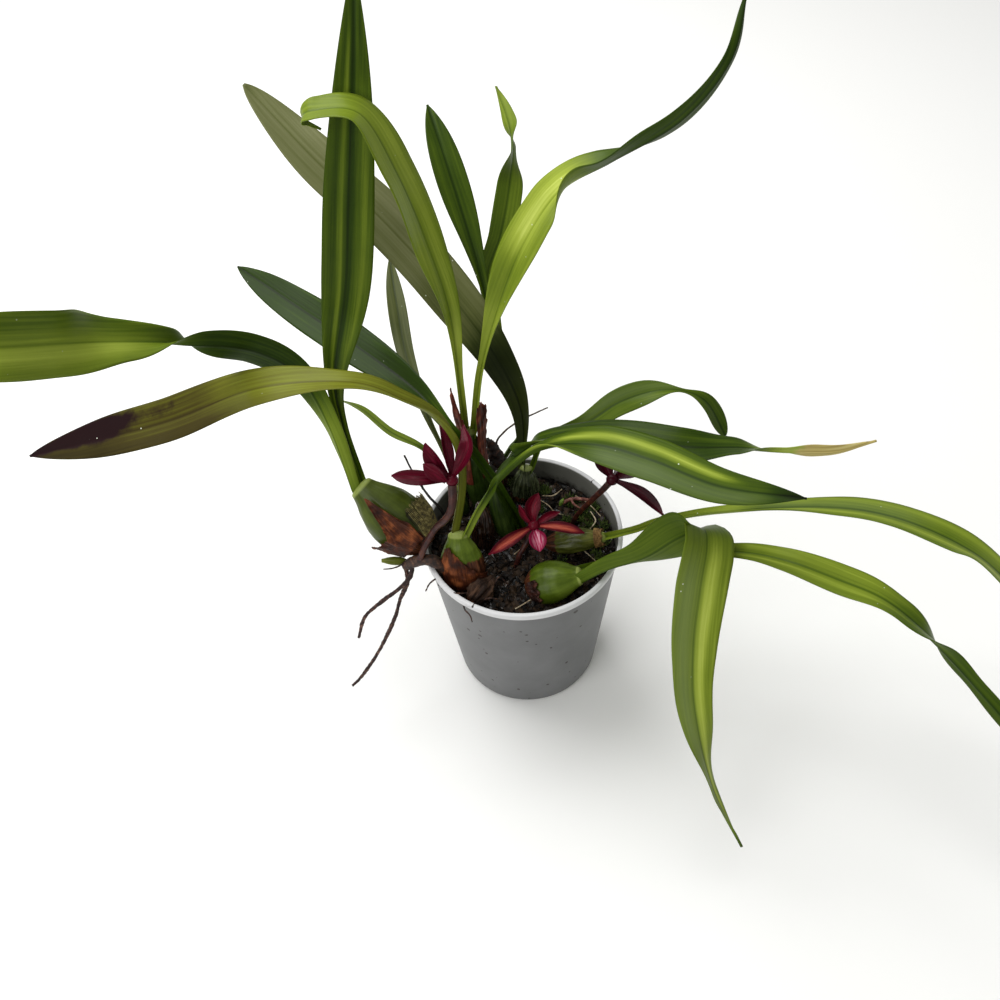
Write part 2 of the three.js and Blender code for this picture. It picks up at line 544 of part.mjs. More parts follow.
for (const [name, flower] of Object.entries(FLOWERS)) {
  const petals = flower.tepals.map(([middle, tip, wide, faces]) => tepal(flower.centre, middle, tip, wide, faces));
  add(`${name}_tepals`, join(core(flower.centre), ...petals), FINISHES.tepal);
  const [start, middle, tip, wide, faces] = flower.lip;
  add(`${name}_lip`, bladeShape({
    spine: [start, middle, tip], wide, stalk: 4, stem: 0, widest: 0.5, facing: [[0, ...faces], [1, ...faces]],
  }, LIP_STATIONS, PETAL_DEPTH), FINISHES.lip);
}

// Flower stalks, hanging roots, the new shoot and the dead stems
const stalkOf = (name, lift) => tube(FLOWERS[name].stalk, FLOWERS[name].radius, 8, 12, lift);
const ballSeat = (centre) => new THREE.SphereGeometry(CORE_RADIUS + CLEARANCE, 10, 6).translate(...centre);
add('flower_1_stalk', cut(stalkOf('flower_1', 0), runner(CLEARANCE), ballSeat(FLOWERS.flower_1.centre)),
  FINISHES.stalk);
add('flower_2_stalk', cut(stalkOf('flower_2', 0), ballSeat(FLOWERS.flower_2.centre)), FINISHES.stalk);
add('flower_3_stalk', cut(stalkOf('flower_3', 0), ballSeat(FLOWERS.flower_3.centre)), FINISHES.stalk);

const ROOTS = {
  root_1: [[-66, -19, 132], [-69, -24, 124], [-77, -28, 118], [-86, -32, 114], [-98, -37, 105.5],
    [-104, -42, 91]],
  root_2: [[-71, -18, 129], [-71, -22.5, 118], [-77, -27, 106], [-82, -34, 95], [-93.5, -44, 77], [-106, -52, 62],
    [-113, -56, 57]],
};
for (const [name, route] of Object.entries(ROOTS)) {
  add(name, cut(tube(route, [1.4, 1], 6, 14, 0), runner(CLEARANCE)), FINISHES.root);
}

const SHOOT = { foot: [-70, -15, 128.5], crown: [-85, -14, 129.5], wide: 6, thick: 5, faces: [0, -1, 0] };
add('new_shoot', cut(bulbShape(SHOOT, 0), runner(CLEARANCE)), FINISHES.bulb);

const DRY_STALK = [[-12, 51, 108], [-12, 55, 145], [-7, 53, 160], [3, 59, 163], [12, 63, 164], [22, 67, 165]];
const BLACK_STEM = [[-46, 20, 108], [-47, 21, 121], [-50, 23, 130], [-55, 27, 135], [-61, 37, 137], [-66, 46, 142],
  [-69, 50, 150]];
const BLACK_BRANCH = [[-59, 33, 136.5], [-60, 34, 141], [-61, 35, 146]];
const THIN = 0.8;
const thin = (route, lift, steps) => tube(route, [THIN, THIN], 6, steps, lift);
add('dry_stalk', thin(DRY_STALK, 0, 18), FINISHES.stalk);
add('black_stem', join(thin(BLACK_STEM, 0, 18), thin(BLACK_BRANCH, 0, 3)), FINISHES.root);

// Bark: fills the pot, with a lumpy top and plain holes where bulbs, runner and stalks stand
function barkShape(lift) {
  const wall = (z) => innerAt(z) - CLEARANCE;
  const top = Array.from({ length: BARK_RINGS }, (_, i) => [wall(BARK_LEVEL) * (1 - (i + 1) / (BARK_RINGS + 1)),
    BARK_LEVEL]);
  const shape = turned([[0, POT_FLOOR + CLEARANCE], [innerAt(5) - 3.2, POT_FLOOR + CLEARANCE], [wall(6), 6],
    [wall(BARK_LEVEL - 4), BARK_LEVEL - 4], [wall(BARK_LEVEL) - 0.5, BARK_LEVEL], ...top, [0, BARK_LEVEL]]);
  const place = shape.attributes.position;
  for (let i = 0; i < place.count; i++) {
    const [x, y, z] = [place.getX(i), place.getY(i), place.getZ(i)];
    const inside = smooth((wall(BARK_LEVEL) - Math.hypot(x, y)) / 8);
    const lumps = Math.sin(x * 0.42 + 1) * Math.cos(y * 0.37) + 0.6 * Math.sin(x * 0.19 - y * 0.3 + 2);
    if (z > BARK_LEVEL - 1) place.setZ(i, z + lift + BARK_BUMP * inside * lumps);
  }
  return shape;
}

const seats = [
  ...Object.values(BULBS).map((bulb) => bulbShape(bulb, CLEARANCE)),
  runner(CLEARANCE),
  stalkOf('flower_2', CLEARANCE),
  stalkOf('flower_3', CLEARANCE),
  thin(DRY_STALK, CLEARANCE, 18),
  thin(BLACK_STEM, CLEARANCE, 18),
];
add('substrate', cut(barkShape(0), ...seats), FINISHES.bark);

export default plant;
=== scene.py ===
# A maxillaria orchid in a plain grey nursery pot, on a pale floor. Metres, +Z up, the pot's base centred on the
# origin and its front towards -Y. Sizes in the sections are millimetres, as in the part's own source.
import math

import bpy
import numpy as np
from mathutils import Matrix, Vector, noise


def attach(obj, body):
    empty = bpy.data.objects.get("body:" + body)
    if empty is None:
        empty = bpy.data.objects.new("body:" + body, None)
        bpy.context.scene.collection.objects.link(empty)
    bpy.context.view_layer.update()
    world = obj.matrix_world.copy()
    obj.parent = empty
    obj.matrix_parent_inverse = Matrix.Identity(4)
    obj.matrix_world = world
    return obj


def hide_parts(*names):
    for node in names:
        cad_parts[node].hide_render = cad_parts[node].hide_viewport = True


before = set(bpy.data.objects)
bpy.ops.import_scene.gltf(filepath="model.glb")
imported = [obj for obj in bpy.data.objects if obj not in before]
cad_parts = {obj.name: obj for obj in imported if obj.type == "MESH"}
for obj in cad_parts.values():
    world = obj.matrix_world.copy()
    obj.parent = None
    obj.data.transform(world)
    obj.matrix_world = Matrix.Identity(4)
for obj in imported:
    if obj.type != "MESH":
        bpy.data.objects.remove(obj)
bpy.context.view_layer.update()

bench = bpy.context.scene.collection

# Camera: a phone held above the front of the pot, tipped down at the plant and a little off level.
LOOK_DOWN, OFF_LEVEL, HELD_AT = math.radians(51.1), math.radians(-4.45), (-0.012, -0.35, 0.5945)
ahead = Vector((0, math.cos(LOOK_DOWN), -math.sin(LOOK_DOWN)))
level = Vector((1, 0, 0))
upright = level.cross(ahead)
right = level * math.cos(OFF_LEVEL) + upright * math.sin(OFF_LEVEL)
above = upright * math.cos(OFF_LEVEL) - level * math.sin(OFF_LEVEL)
lens = bpy.data.cameras.new("camera")
lens.lens, lens.sensor_width = 34.67, 36
camera = bpy.data.objects.new("camera", lens)
camera.matrix_world = Matrix.Translation(HELD_AT) @ Matrix((right, above, -ahead)).transposed().to_4x4()
bench.objects.link(camera)
bpy.context.scene.camera = camera


# Floor and light: a matt white studio floor under one broad overhead softbox towards the back, with a weaker
# one from the front left and a pale room all round, so that shadows stay soft and leaves show a wide sheen.
def linear(code):
    """An sRGB hex colour as the linear colour that a shader takes"""
    parts = [int(code[i:i + 2], 16) / 255 for i in (1, 3, 5)]
    return tuple(c / 12.92 if c <= 0.04045 else ((c + 0.055) / 1.055) ** 2.4 for c in parts) + (1.0,)


def feed(tree, node, inputs):
    """Sets a node's inputs to these values, or links them to these nodes or sockets"""
    for name, value in inputs.items():
        if isinstance(value, bpy.types.Node):
            value = value.outputs[0]
        if isinstance(value, bpy.types.NodeSocket):
            tree.links.new(value, node.inputs[name])
        else:
            node.inputs[name].default_value = value


def add(tree, kind, inputs=None, stops=None, **settings):
    """Adds a node with its settings, its input values or links, and the stops of a colour ramp"""
    made = tree.nodes.new(kind)
    for name, value in settings.items():
        setattr(made, name, value)
    feed(tree, made, inputs or {})
    if stops:
        elements = made.color_ramp.elements
        while len(elements) < len(stops):
            elements.new(1)
        for element, (place, code) in zip(elements, stops):
            element.position, element.color = place, linear(code)
    return made


def material_of(name, constants):
    """A material whose shader has these constants"""
    material = bpy.data.materials.new(name)
    material.use_nodes = True
    tree = material.node_tree
    shader = tree.nodes["Principled BSDF"]
    feed(tree, shader, constants)
    return material, tree, shader


floor_paint, *_ = material_of("matt_white_floor", {"Roughness": 0.9, "Base Color": linear("#fbfbf9")})
FLOOR_REACH, FLOOR_LEVEL = 4, -0.0004
corners = [(FLOOR_REACH * x, FLOOR_REACH * y, FLOOR_LEVEL) for x, y in ((-1, -1), (1, -1), (1, 1), (-1, 1))]
floor_mesh = bpy.data.meshes.new("floor")
floor_mesh.from_pydata(corners, [], [(0, 1, 2, 3)])
floor_mesh.materials.append(floor_paint)
floor = bpy.data.objects.new("floor", floor_mesh)
bench.objects.link(floor)

room = bpy.data.worlds.new("pale_room")
room.use_nodes = True
feed(room.node_tree, room.node_tree.nodes["Background"], {"Color": linear("#f7f7f5"), "Strength": 0.46})
bpy.context.scene.world = room
LIT_SPOT = Vector((0, 0, 0.15))
SOFTBOXES = {
    "softbox_top": ((-0.55, 0.6, 1.5), 1.2, 25),
    "softbox_front": ((-0.9, -0.9, 1.1), 0.9, 8),
}
for name, (place, size, watts) in SOFTBOXES.items():
    lamp = bpy.data.lights.new(name, "AREA")
    lamp.size, lamp.energy = size, watts
    softbox = bpy.data.objects.new(name, lamp)
    aim = LIT_SPOT - Vector(place)
    softbox.matrix_world = Matrix.Translation(place) @ aim.to_track_quat("-Z", "Y").to_matrix().to_4x4()
    bench.objects.link(softbox)
bpy.context.scene.view_settings.view_transform = "Standard"

# Pot: a thin tapered nursery pot, injection moulded in grey polypropylene with a narrow lip. It is satin and
# even, with handling dust and soil splashed on the wall, and a lip painted pale, partly rubbed wear and partly a
# painted highlight.
POT_HEIGHT, RIM_RADIUS, BASE_RADIUS, POT_WALL, POT_FLOOR = 129, 60.5, 47, 1.5, 2.5
LIP_HEIGHT, LIP_PROUD = 4.5, 1.5
LIP_FOOT = POT_HEIGHT - LIP_HEIGHT
BODY_TOP = RIM_RADIUS - LIP_PROUD
MM = 0.001


def wall_outside(z):
    """The pot wall's outer radius at a height"""
    return BASE_RADIUS + (BODY_TOP - BASE_RADIUS) * z / LIP_FOOT


def wall_inside(z):
    """The pot wall's inner radius at a height"""
    return wall_outside(z) - POT_WALL


def skin(rings, **fields):
    """A closed skin over rings of points that turn right-handed about the direction of travel"""
    rings = np.asarray(rings, float)
    n, m = rings.shape[:2]
    i, j = np.meshgrid(np.arange(n - 1), np.arange(m), indexing="ij")
    k = (j + 1) % m
    quads = np.stack([i * m + j, i * m + k, (i + 1) * m + k, (i + 1) * m + j], -1).reshape(-1, 4)
    points = np.vstack([rings.reshape(-1, 3), rings[0].mean(0), rings[-1].mean(0)])
    last = (n - 1) * m
    caps = [(n * m, (a + 1) % m, a) for a in range(m)]
    caps += [(n * m + 1, last + a, last + (a + 1) % m) for a in range(m)]
    values = {name: np.concatenate([np.ravel(f), [np.mean(f[0]), np.mean(f[-1])]]) for name, f in fields.items()}
    return points, quads.tolist() + caps, values


def piece(name, skins, material, slot, *stands_for):
    """Joins skins into one smooth piece that rides on the plant and stands for CAD nodes"""
    points, faces, start = [], [], 0
    for part_points, part_faces, _ in skins:
        points.append(part_points * MM)
        faces += [[start + corner for corner in face] for face in part_faces]
        start += len(part_points)
    mesh = bpy.data.meshes.new(name)
    mesh.from_pydata(np.vstack(points), [], faces)
    for field in skins[0][2]:
        values = mesh.attributes.new(field, "FLOAT", "POINT")
        values.data.foreach_set("value", np.concatenate([part[2][field] for part in skins]).astype(np.float32))
    mesh.shade_smooth()
    return mounted(name, mesh, material, slot, *stands_for)


def mounted(name, mesh, material, slot, *stands_for):
    """Makes a mesh a piece with this material that rides on the plant and stands for CAD nodes. The slot is not used.
    """
    mesh.materials.clear()
    mesh.materials.append(material)
    made = bpy.data.objects.new(name, mesh)
    bench.objects.link(made)
    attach(made, "root")
    if stands_for:
        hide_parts(*stands_for)
    return made


def turned(profile, around):
    """Rings of a turned shape: each place on the profile is one ring about the upright axis"""
    turn = np.linspace(0, 2 * math.pi, around, endpoint=False)
    return [np.stack([r * np.cos(turn), r * np.sin(turn), np.full(around, z)], 1) for r, z in profile]


pot_profile = [
    (1, 0), (BASE_RADIUS - 3.2, 0), (BASE_RADIUS - 2, 0.2), (BASE_RADIUS - 0.9, 0.8), (BASE_RADIUS - 0.2, 1.9),
    (wall_outside(3.5), 3.5), (wall_outside(40), 40), (wall_outside(80), 80), (BODY_TOP - 0.05, LIP_FOOT - 0.4),
    (BODY_TOP + 0.15, LIP_FOOT), (RIM_RADIUS - 0.4, LIP_FOOT + 0.25), (RIM_RADIUS - 0.1, LIP_FOOT + 0.6),
    (RIM_RADIUS, LIP_FOOT + 1.1), (RIM_RADIUS, POT_HEIGHT - 1.2), (RIM_RADIUS - 0.15, POT_HEIGHT - 0.5),
    (RIM_RADIUS - 0.6, POT_HEIGHT - 0.1), (RIM_RADIUS - 1.1, POT_HEIGHT), (wall_inside(LIP_FOOT) + 0.9, POT_HEIGHT),
    (wall_inside(LIP_FOOT) + 0.4, POT_HEIGHT - 0.2), (wall_inside(LIP_FOOT) + 0.1, POT_HEIGHT - 0.9),
    (wall_inside(LIP_FOOT), LIP_FOOT), (wall_inside(80), 80), (wall_inside(40), 40), (wall_inside(5), 5),
    (wall_inside(5) - 2.5, POT_FLOOR), (1, POT_FLOOR),
]
AROUND_POT, RIM_RINGS = 168, range(12, 20)
MEAN_RADIUS, SOIL_TOP, SOIL_FULL = 0.055, 0.127, 0.112
rim = np.array([[float(i in RIM_RINGS)] * AROUND_POT for i in range(len(pot_profile))])
inside = np.array([[float(i >= RIM_RINGS[-1])] * AROUND_POT for i in range(len(pot_profile))])
polypropylene, tree, shader = material_of("moulded_grey_polypropylene", {"IOR": 1.49, "Specular IOR Level": 0.4})
spot = add(tree, "ShaderNodeTexCoord").outputs["Object"]
dust = add(tree, "ShaderNodeTexNoise", {"Vector": spot, "Scale": 1 / 0.035, "Detail": 4, "Roughness": 0.6})
body = add(tree, "ShaderNodeValToRGB", {0: dust}, stops=[(0.3, "#595a5b"), (0.5, "#656667"), (0.75, "#717273")])
# Specks of bark under 2 mm across stick to the wall, so their cells are laid out round the pot. Wet soil marks the
# wall's inside, most at the bark and least at the lip.
parts = add(tree, "ShaderNodeSeparateXYZ", {0: spot})
bearing = add(tree, "ShaderNodeMath", {0: parts.outputs["Y"], 1: parts.outputs["X"]}, operation="ARCTAN2")
girth = add(tree, "ShaderNodeMath", {0: bearing, 1: MEAN_RADIUS}, operation="MULTIPLY")
unrolled = add(tree, "ShaderNodeCombineXYZ", {0: girth, 1: parts.outputs["Z"]})
jagged = add(tree, "ShaderNodeTexNoise", {"Vector": spot, "Scale": 1 / 0.0012})
crumb_cells = add(tree, "ShaderNodeTexVoronoi", {"Vector": unrolled, "Scale": 1 / 0.0095}, voronoi_dimensions="2D")
crumb_pick = add(tree, "ShaderNodeTexNoise", {"Vector": unrolled, "Scale": 1 / 0.014})
crumb_size = add(tree, "ShaderNodeMapRange", {0: crumb_pick, 1: 0.5, 2: 0.7, 3: -0.01, 4: 0.2})
crumb_edge = add(tree, "ShaderNodeMath", {0: jagged, 1: 0.06, 2: crumb_cells}, operation="MULTIPLY_ADD")
crumbs = add(tree, "ShaderNodeMath", {0: crumb_edge, 1: crumb_size}, operation="LESS_THAN")
rubbed_and_highlit, inner = (add(tree, "ShaderNodeAttribute", attribute_name=field).outputs["Fac"] for field in ("rim", "inside"))
# The lip is painted pale: partly rubbed wear, partly a painted highlight along the lip
pale = add(tree, "ShaderNodeMix", {0: rubbed_and_highlit, 6: body, 7: linear("#d4d4d5")}, data_type="RGBA")
soil_line = add(tree, "ShaderNodeMapRange", {0: parts.outputs["Z"], 1: SOIL_TOP, 2: SOIL_FULL})
smear = add(tree, "ShaderNodeTexNoise", {"Vector": spot, "Scale": 1 / 0.009, "Detail": 6, "Roughness": 0.7})
smeared = add(tree, "ShaderNodeMath", {0: smear, 1: soil_line}, operation="MULTIPLY")
splash = add(tree, "ShaderNodeMapRange", {0: smeared, 1: 0.28, 2: 0.5})
soiled = add(tree, "ShaderNodeMath", {0: splash, 1: inner}, operation="MULTIPLY")
# The wall's inside is painted a paler, warmer grey than the body: painted light on the inner wall
painted_inside_tone = add(tree, "ShaderNodeMix", {0: inner, 6: pale.outputs[2], 7: linear("#74746d")}, data_type="RGBA")
soil = add(tree, "ShaderNodeMath", {0: soiled, 1: crumbs}, operation="MAXIMUM")
coloured = add(tree, "ShaderNodeMix", {0: soil, 6: painted_inside_tone.outputs[2], 7: linear("#241c16")}, data_type="RGBA")
satin = add(tree, "ShaderNodeMapRange", {0: dust, 3: 0.38, 4: 0.55})
# The mould's spark texture is about 0.1 mm, drawn at 0.8 mm so that it shows
mould = add(tree, "ShaderNodeTexNoise", {"Vector": spot, "Scale": 1 / 0.0008})
relief = add(tree, "ShaderNodeBump", {"Height": mould, "Strength": 0.12, "Distance": 0.0002})
feed(tree, shader, {"Base Color": coloured.outputs[2], "Roughness": satin, "Normal": relief})
piece("pot_shell", [skin(turned(pot_profile, AROUND_POT), rim=rim, inside=inside)], polypropylene, "pot", "pot")

# Bark mix: fine composted bark that fills the pot, near black because it is wet. Coarser chips, moss and pale
# root threads lie on it.
BARK_LEVEL, BARK_BUMP, GAP = 114, 1.6, 0.3
CRUMB, CRUMB_HEIGHT, AROUND_BED, WALL_RINGS = 3.2, 1.1, 144, 4


def bark_height(x, y):
    """The height of the bark's surface, which is lumpy in the middle and level along the wall"""
    inset = np.clip((wall_inside(BARK_LEVEL) - GAP - np.hypot(x, y)) / 8, 0, 1)
    lumps = np.sin(x * 0.42 + 1) * np.cos(y * 0.37) + 0.6 * np.sin(x * 0.19 - y * 0.3 + 2)
    return BARK_LEVEL + BARK_BUMP * inset ** 2 * (3 - 2 * inset) * lumps


bed_profile = [(1, POT_FLOOR + 0.3), (wall_inside(5) - 3.2, POT_FLOOR + 0.3), (wall_inside(6) - 0.3, 6),
               (wall_inside(110) - 0.3, 110), (wall_inside(BARK_LEVEL) - 0.8, BARK_LEVEL)]
bed_profile += [(r, BARK_LEVEL) for r in np.linspace(wall_inside(BARK_LEVEL) - 1.5, 1, 46)]
bed = np.array(turned(bed_profile, AROUND_BED))
top = bed[WALL_RINGS:]
top[..., 2] = bark_height(top[..., 0], top[..., 1])
crumble = np.array([[noise.fractal(Vector((x / CRUMB, y / CRUMB, 0)), 1.0, 2.0, 4) for x, y, _ in ring]
                    for ring in top])
top[..., 2] += crumble * np.clip(np.arange(len(top)) / 2, 0, 1)[:, None] * CRUMB_HEIGHT


def wet_bark(name, dark, mid, light):
    """Composted conifer bark, soaked: dark rough crumbs with small wet glints"""
    material, tree, shader = material_of(name, {"IOR": 1.4, "Specular IOR Level": 0.3, "Coat Weight": 0.3,
                                                "Coat Roughness": 0.15})
    spot = add(tree, "ShaderNodeTexCoord").outputs["Object"]
    grain = add(tree, "ShaderNodeTexNoise", {"Vector": spot, "Scale": 1 / 0.003, "Detail": 5, "Roughness": 0.65})
    shade = add(tree, "ShaderNodeAttribute", attribute_name="shade")
    mixed = add(tree, "ShaderNodeMath", {0: shade.outputs["Fac"], 1: 0.35, 2: grain}, operation="MULTIPLY_ADD")
    colour = add(tree, "ShaderNodeValToRGB", {0: mixed}, stops=[(0.38, dark), (0.6, mid), (0.95, light)])
    gloss = add(tree, "ShaderNodeMapRange", {0: grain, 1: 0.3, 2: 0.7, 3: 0.45, 4: 0.9})
    relief = add(tree, "ShaderNodeBump", {"Height": grain, "Strength": 0.7, "Distance": 0.001})
    feed(tree, shader, {"Base Color": colour, "Roughness": gloss, "Normal": relief})
    return material


bark = wet_bark("wet_composted_bark", "#030202", "#090604", "#1a120c")
piece("bark_bed", [skin(bed, shade=np.zeros(bed.shape[:2]))], bark, "bark", "substrate")


def new_tree(name, inputs):
    """A tree of geometry nodes with these named inputs, and its input and output nodes"""
    tree = bpy.data.node_groups.new(name, "GeometryNodeTree")
    tree.interface.new_socket(name="Geometry", in_out="INPUT", socket_type="NodeSocketGeometry")
    tree.interface.new_socket(name="Geometry", in_out="OUTPUT", socket_type="NodeSocketGeometry")
    for label, value in inputs.items():
        kind = {int: "NodeSocketInt", float: "NodeSocketFloat"}.get(type(value), "NodeSocketMaterial")
        socket = tree.interface.new_socket(name=label, in_out="INPUT", socket_type=kind)
        if value is not None:
            socket.default_value = value
    return tree, add(tree, "NodeGroupInput"), add(tree, "NodeGroupOutput")


def grown(name, base, tree, values):
    """The plain mesh that a tree of nodes makes of a base mesh with these input values"""
    holder = bpy.data.objects.new(name, base)
    bench.objects.link(holder)
    grow = holder.modifiers.new(name, "NODES")
    grow.node_group = tree
    for item in tree.interface.items_tree:
        if item.in_out == "INPUT" and item.name in values:
            grow[item.identifier] = values[item.name]
    made = bpy.data.meshes.new_from_object(holder.evaluated_get(bpy.context.evaluated_depsgraph_get()))
    holder.modifiers.clear()
    bpy.data.objects.remove(holder)
    made.name = name
    return made


# Chips, crumbs and grit are one small angular block, scattered over the bed at a chance size, turn and tilt and
# then knocked out of shape
chip_tree, given, result = new_tree(
    "scattered_chips", {"Pieces a square metre": 1000.0, "Length": 0.004, "Width": 0.003, "Depth": 0.001, "Cuts": 3,
                        "Smallest": 0.5, "Tilt": 0.5, "Seed": 1, "Skin": None})
strewn = add(chip_tree, "GeometryNodeDistributePointsOnFaces", {
    "Mesh": given.outputs["Geometry"], "Density": given.outputs["Pieces a square metre"],
    "Seed": given.outputs["Seed"]})
block_size = add(chip_tree, "ShaderNodeCombineXYZ", {
    0: given.outputs["Length"], 1: given.outputs["Width"], 2: given.outputs["Depth"]})
block = add(chip_tree, "GeometryNodeMeshCube", {
    "Size": block_size, "Vertices X": given.outputs["Cuts"], "Vertices Y": given.outputs["Cuts"]})
against = add(chip_tree, "ShaderNodeMath", {0: given.outputs["Tilt"], 1: -1.0}, operation="MULTIPLY")
least_turn = add(chip_tree, "ShaderNodeCombineXYZ", {0: against, 1: against})
most_turn = add(chip_tree, "ShaderNodeCombineXYZ", {0: given.outputs["Tilt"], 1: given.outputs["Tilt"], 2: 6.28})
turn_by = add(chip_tree, "FunctionNodeRandomValue", {0: least_turn, 1: most_turn, "Seed": 3},
              data_type="FLOAT_VECTOR")
turn_to = add(chip_tree, "FunctionNodeEulerToRotation", {0: turn_by.outputs[0]})
grade = add(chip_tree, "FunctionNodeRandomValue", {2: given.outputs["Smallest"], 3: 1.4, "Seed": 4}, data_type="FLOAT")
chips = add(chip_tree, "GeometryNodeInstanceOnPoints", {
    "Points": strewn, "Instance": block, "Rotation": turn_to, "Scale": grade.outputs[1]})
hue = add(chip_tree, "FunctionNodeRandomValue", {2: 0.0, 3: 1.0, "Seed": 5}, data_type="FLOAT")
hued = add(chip_tree, "GeometryNodeStoreNamedAttribute", {"Geometry": chips, "Name": "shade", "Value": hue.outputs[1]},
           data_type="FLOAT", domain="INSTANCE")
loose = add(chip_tree, "GeometryNodeRealizeInstances", {0: hued})
knocks = add(chip_tree, "ShaderNodeTexNoise", {"Scale": 520.0, "Detail": 1})
knock = add(chip_tree, "ShaderNodeVectorMath", {0: knocks.outputs["Color"], 1: (0.5, 0.5, 0.5)}, operation="SUBTRACT")
knock_deep = add(chip_tree, "ShaderNodeMath", {0: given.outputs["Width"], 1: 1.1}, operation="MULTIPLY")
knocked = add(chip_tree, "ShaderNodeVectorMath", {0: knock, "Scale": knock_deep}, operation="SCALE")
rough_chips = add(chip_tree, "GeometryNodeSetPosition", {0: loose, "Offset": knocked})
finished = add(chip_tree, "GeometryNodeSetMaterial", {0: rough_chips, "Material": given.outputs["Skin"]})
feed(chip_tree, result, {0: finished})


def sheet(name, rings):
    """The rings as one open sheet, for scattering over"""
    points, faces, _ = skin(rings)
    mesh = bpy.data.meshes.new(name)
    mesh.from_pydata(points * MM, [], faces[:(rings.shape[0] - 1) * rings.shape[1]])
    return mesh


chipped = wet_bark("wet_bark_chips", "#050302", "#130c08", "#41301f")
grit = wet_bark("pale_grit", "#6a5f4c", "#a89b80", "#dcd4bd")
STREWN = {
    "bark_chips": {"Pieces a square metre": 110000.0, "Length": 0.006, "Width": 0.0028, "Depth": 0.0013, "Cuts": 3,
                   "Smallest": 0.4, "Tilt": 0.7, "Seed": 11, "Skin": chipped},
    "bark_crumbs": {"Pieces a square metre": 240000.0, "Length": 0.0014, "Width": 0.0011, "Depth": 0.0009, "Cuts": 2,
                    "Smallest": 0.5, "Tilt": 1.5, "Seed": 12, "Skin": chipped},
    "white_grit": {"Pieces a square metre": 2600.0, "Length": 0.0013, "Width": 0.0009, "Depth": 0.0006, "Cuts": 2,
                   "Smallest": 0.4, "Tilt": 1.5, "Seed": 13, "Skin": grit},
}
for name, values in STREWN.items():
    mounted(name, grown(name, sheet(name, top[1:]), chip_tree, values), values["Skin"], "bark")


# Stems, roots and twigs are round and follow a path, so one tree of nodes grows them all: it rounds a line to
# its own thickness and makes its surface uneven.
stem_tree, given, result = new_tree(
    "round_stem", {"Lump depth": 0.0002, "Lump size": 0.004, "Sides": 12, "Skin": None})
line = add(stem_tree, "GeometryNodeMeshToCurve", {0: given.outputs["Geometry"]})
thickness = add(stem_tree, "GeometryNodeInputNamedAttribute", {"Name": "thickness"}, data_type="FLOAT")
ring = add(stem_tree, "GeometryNodeCurvePrimitiveCircle", {"Resolution": given.outputs["Sides"], "Radius": 1.0})
rounded = add(stem_tree, "GeometryNodeCurveToMesh", {
    "Curve": line, "Profile Curve": ring, "Scale": thickness, "Fill Caps": True})
size = add(stem_tree, "ShaderNodeMath", {0: 1.0, 1: given.outputs["Lump size"]}, operation="DIVIDE")
bumps = add(stem_tree, "ShaderNodeTexNoise", {"Scale": size, "Detail": 2})
centred = add(stem_tree, "ShaderNodeMath", {0: bumps, 1: 0.5}, operation="SUBTRACT")
deep = add(stem_tree, "ShaderNodeMath", {0: centred, 1: given.outputs["Lump depth"]}, operation="MULTIPLY")
outwards = add(stem_tree, "GeometryNodeInputNormal")
moved = add(stem_tree, "ShaderNodeVectorMath", {0: outwards, "Scale": deep}, operation="SCALE")
uneven = add(stem_tree, "GeometryNodeSetPosition", {0: rounded, "Offset": moved})
plain = add(stem_tree, "GeometryNodeRealizeInstances", {0: uneven})
skinned = add(stem_tree, "GeometryNodeSetMaterial", {0: plain, "Material": given.outputs["Skin"]})
feed(stem_tree, result, {0: skinned})


def route(points, count):
    """Evenly spaced places and directions on a smooth curve through the points, and its length"""
    p = np.array(points, float)
    p = np.vstack([2 * p[0] - p[1], p, 2 * p[-1] - p[-2]])
    t = np.linspace(0, 1, 60, endpoint=False)[:, None]
    dense = [(2 * t ** 3 - 3 * t ** 2 + 1) * b + (t ** 3 - 2 * t ** 2 + t) * (c - a) / 2
             + (3 * t ** 2 - 2 * t ** 3) * c + (t ** 3 - t ** 2) * (d - b) / 2
             for a, b, c, d in zip(p, p[1:], p[2:], p[3:])]
    dense = np.vstack(dense + [p[-2:-1]])
    run = np.concatenate([[0], np.cumsum(np.linalg.norm(np.diff(dense, axis=0), axis=1))])
    at = np.linspace(0, run[-1], count)
    place = np.stack([np.interp(at, run, dense[:, k]) for k in range(3)], 1)
    travel = np.gradient(place, axis=0)
    return place, travel / np.linalg.norm(travel, axis=1)[:, None], run[-1]


def paths(name, runs):
    """Loose lines with a thickness at each point, for the stem tree. Each run is points, radii and count."""
    points, edges, radii = [], [], []
    for spine, radius, count in runs:
        start = len(points)
        points += (route(spine, count)[0] * MM).tolist()
        edges += [(start + i, start + i + 1) for i in range(count - 1)]
        radii += np.interp(np.linspace(0, 1, count), np.linspace(0, 1, len(radius)), radius).tolist()
    mesh = bpy.data.meshes.new(name)
    mesh.from_pydata(points, edges, [])
    values = mesh.attributes.new("thickness", "FLOAT", "POINT")
    values.data.foreach_set("value", np.array(radii, np.float32) * MM)
    return mesh


def woody(name, dark, mid, light, grain_mm, gloss):
    """Dry or wet stem skin: small dark and pale blotches with a rough surface, at the size of the real grain"""
    material, tree, shader = material_of(name, {"IOR": 1.45, "Roughness": gloss})
    spot = add(tree, "ShaderNodeTexCoord").outputs["Object"]
    blotch = add(tree, "ShaderNodeTexNoise", {"Vector": spot, "Scale": 1000 / grain_mm, "Detail": 5,
                                             "Roughness": 0.7})
    colour = add(tree, "ShaderNodeValToRGB", {0: blotch}, stops=[(0.35, dark), (0.52, mid), (0.72, light)])
    relief = add(tree, "ShaderNodeBump", {"Height": blotch, "Strength": 0.5, "Distance": 0.0006})
    feed(tree, shader, {"Base Color": colour, "Normal": relief})
    return material


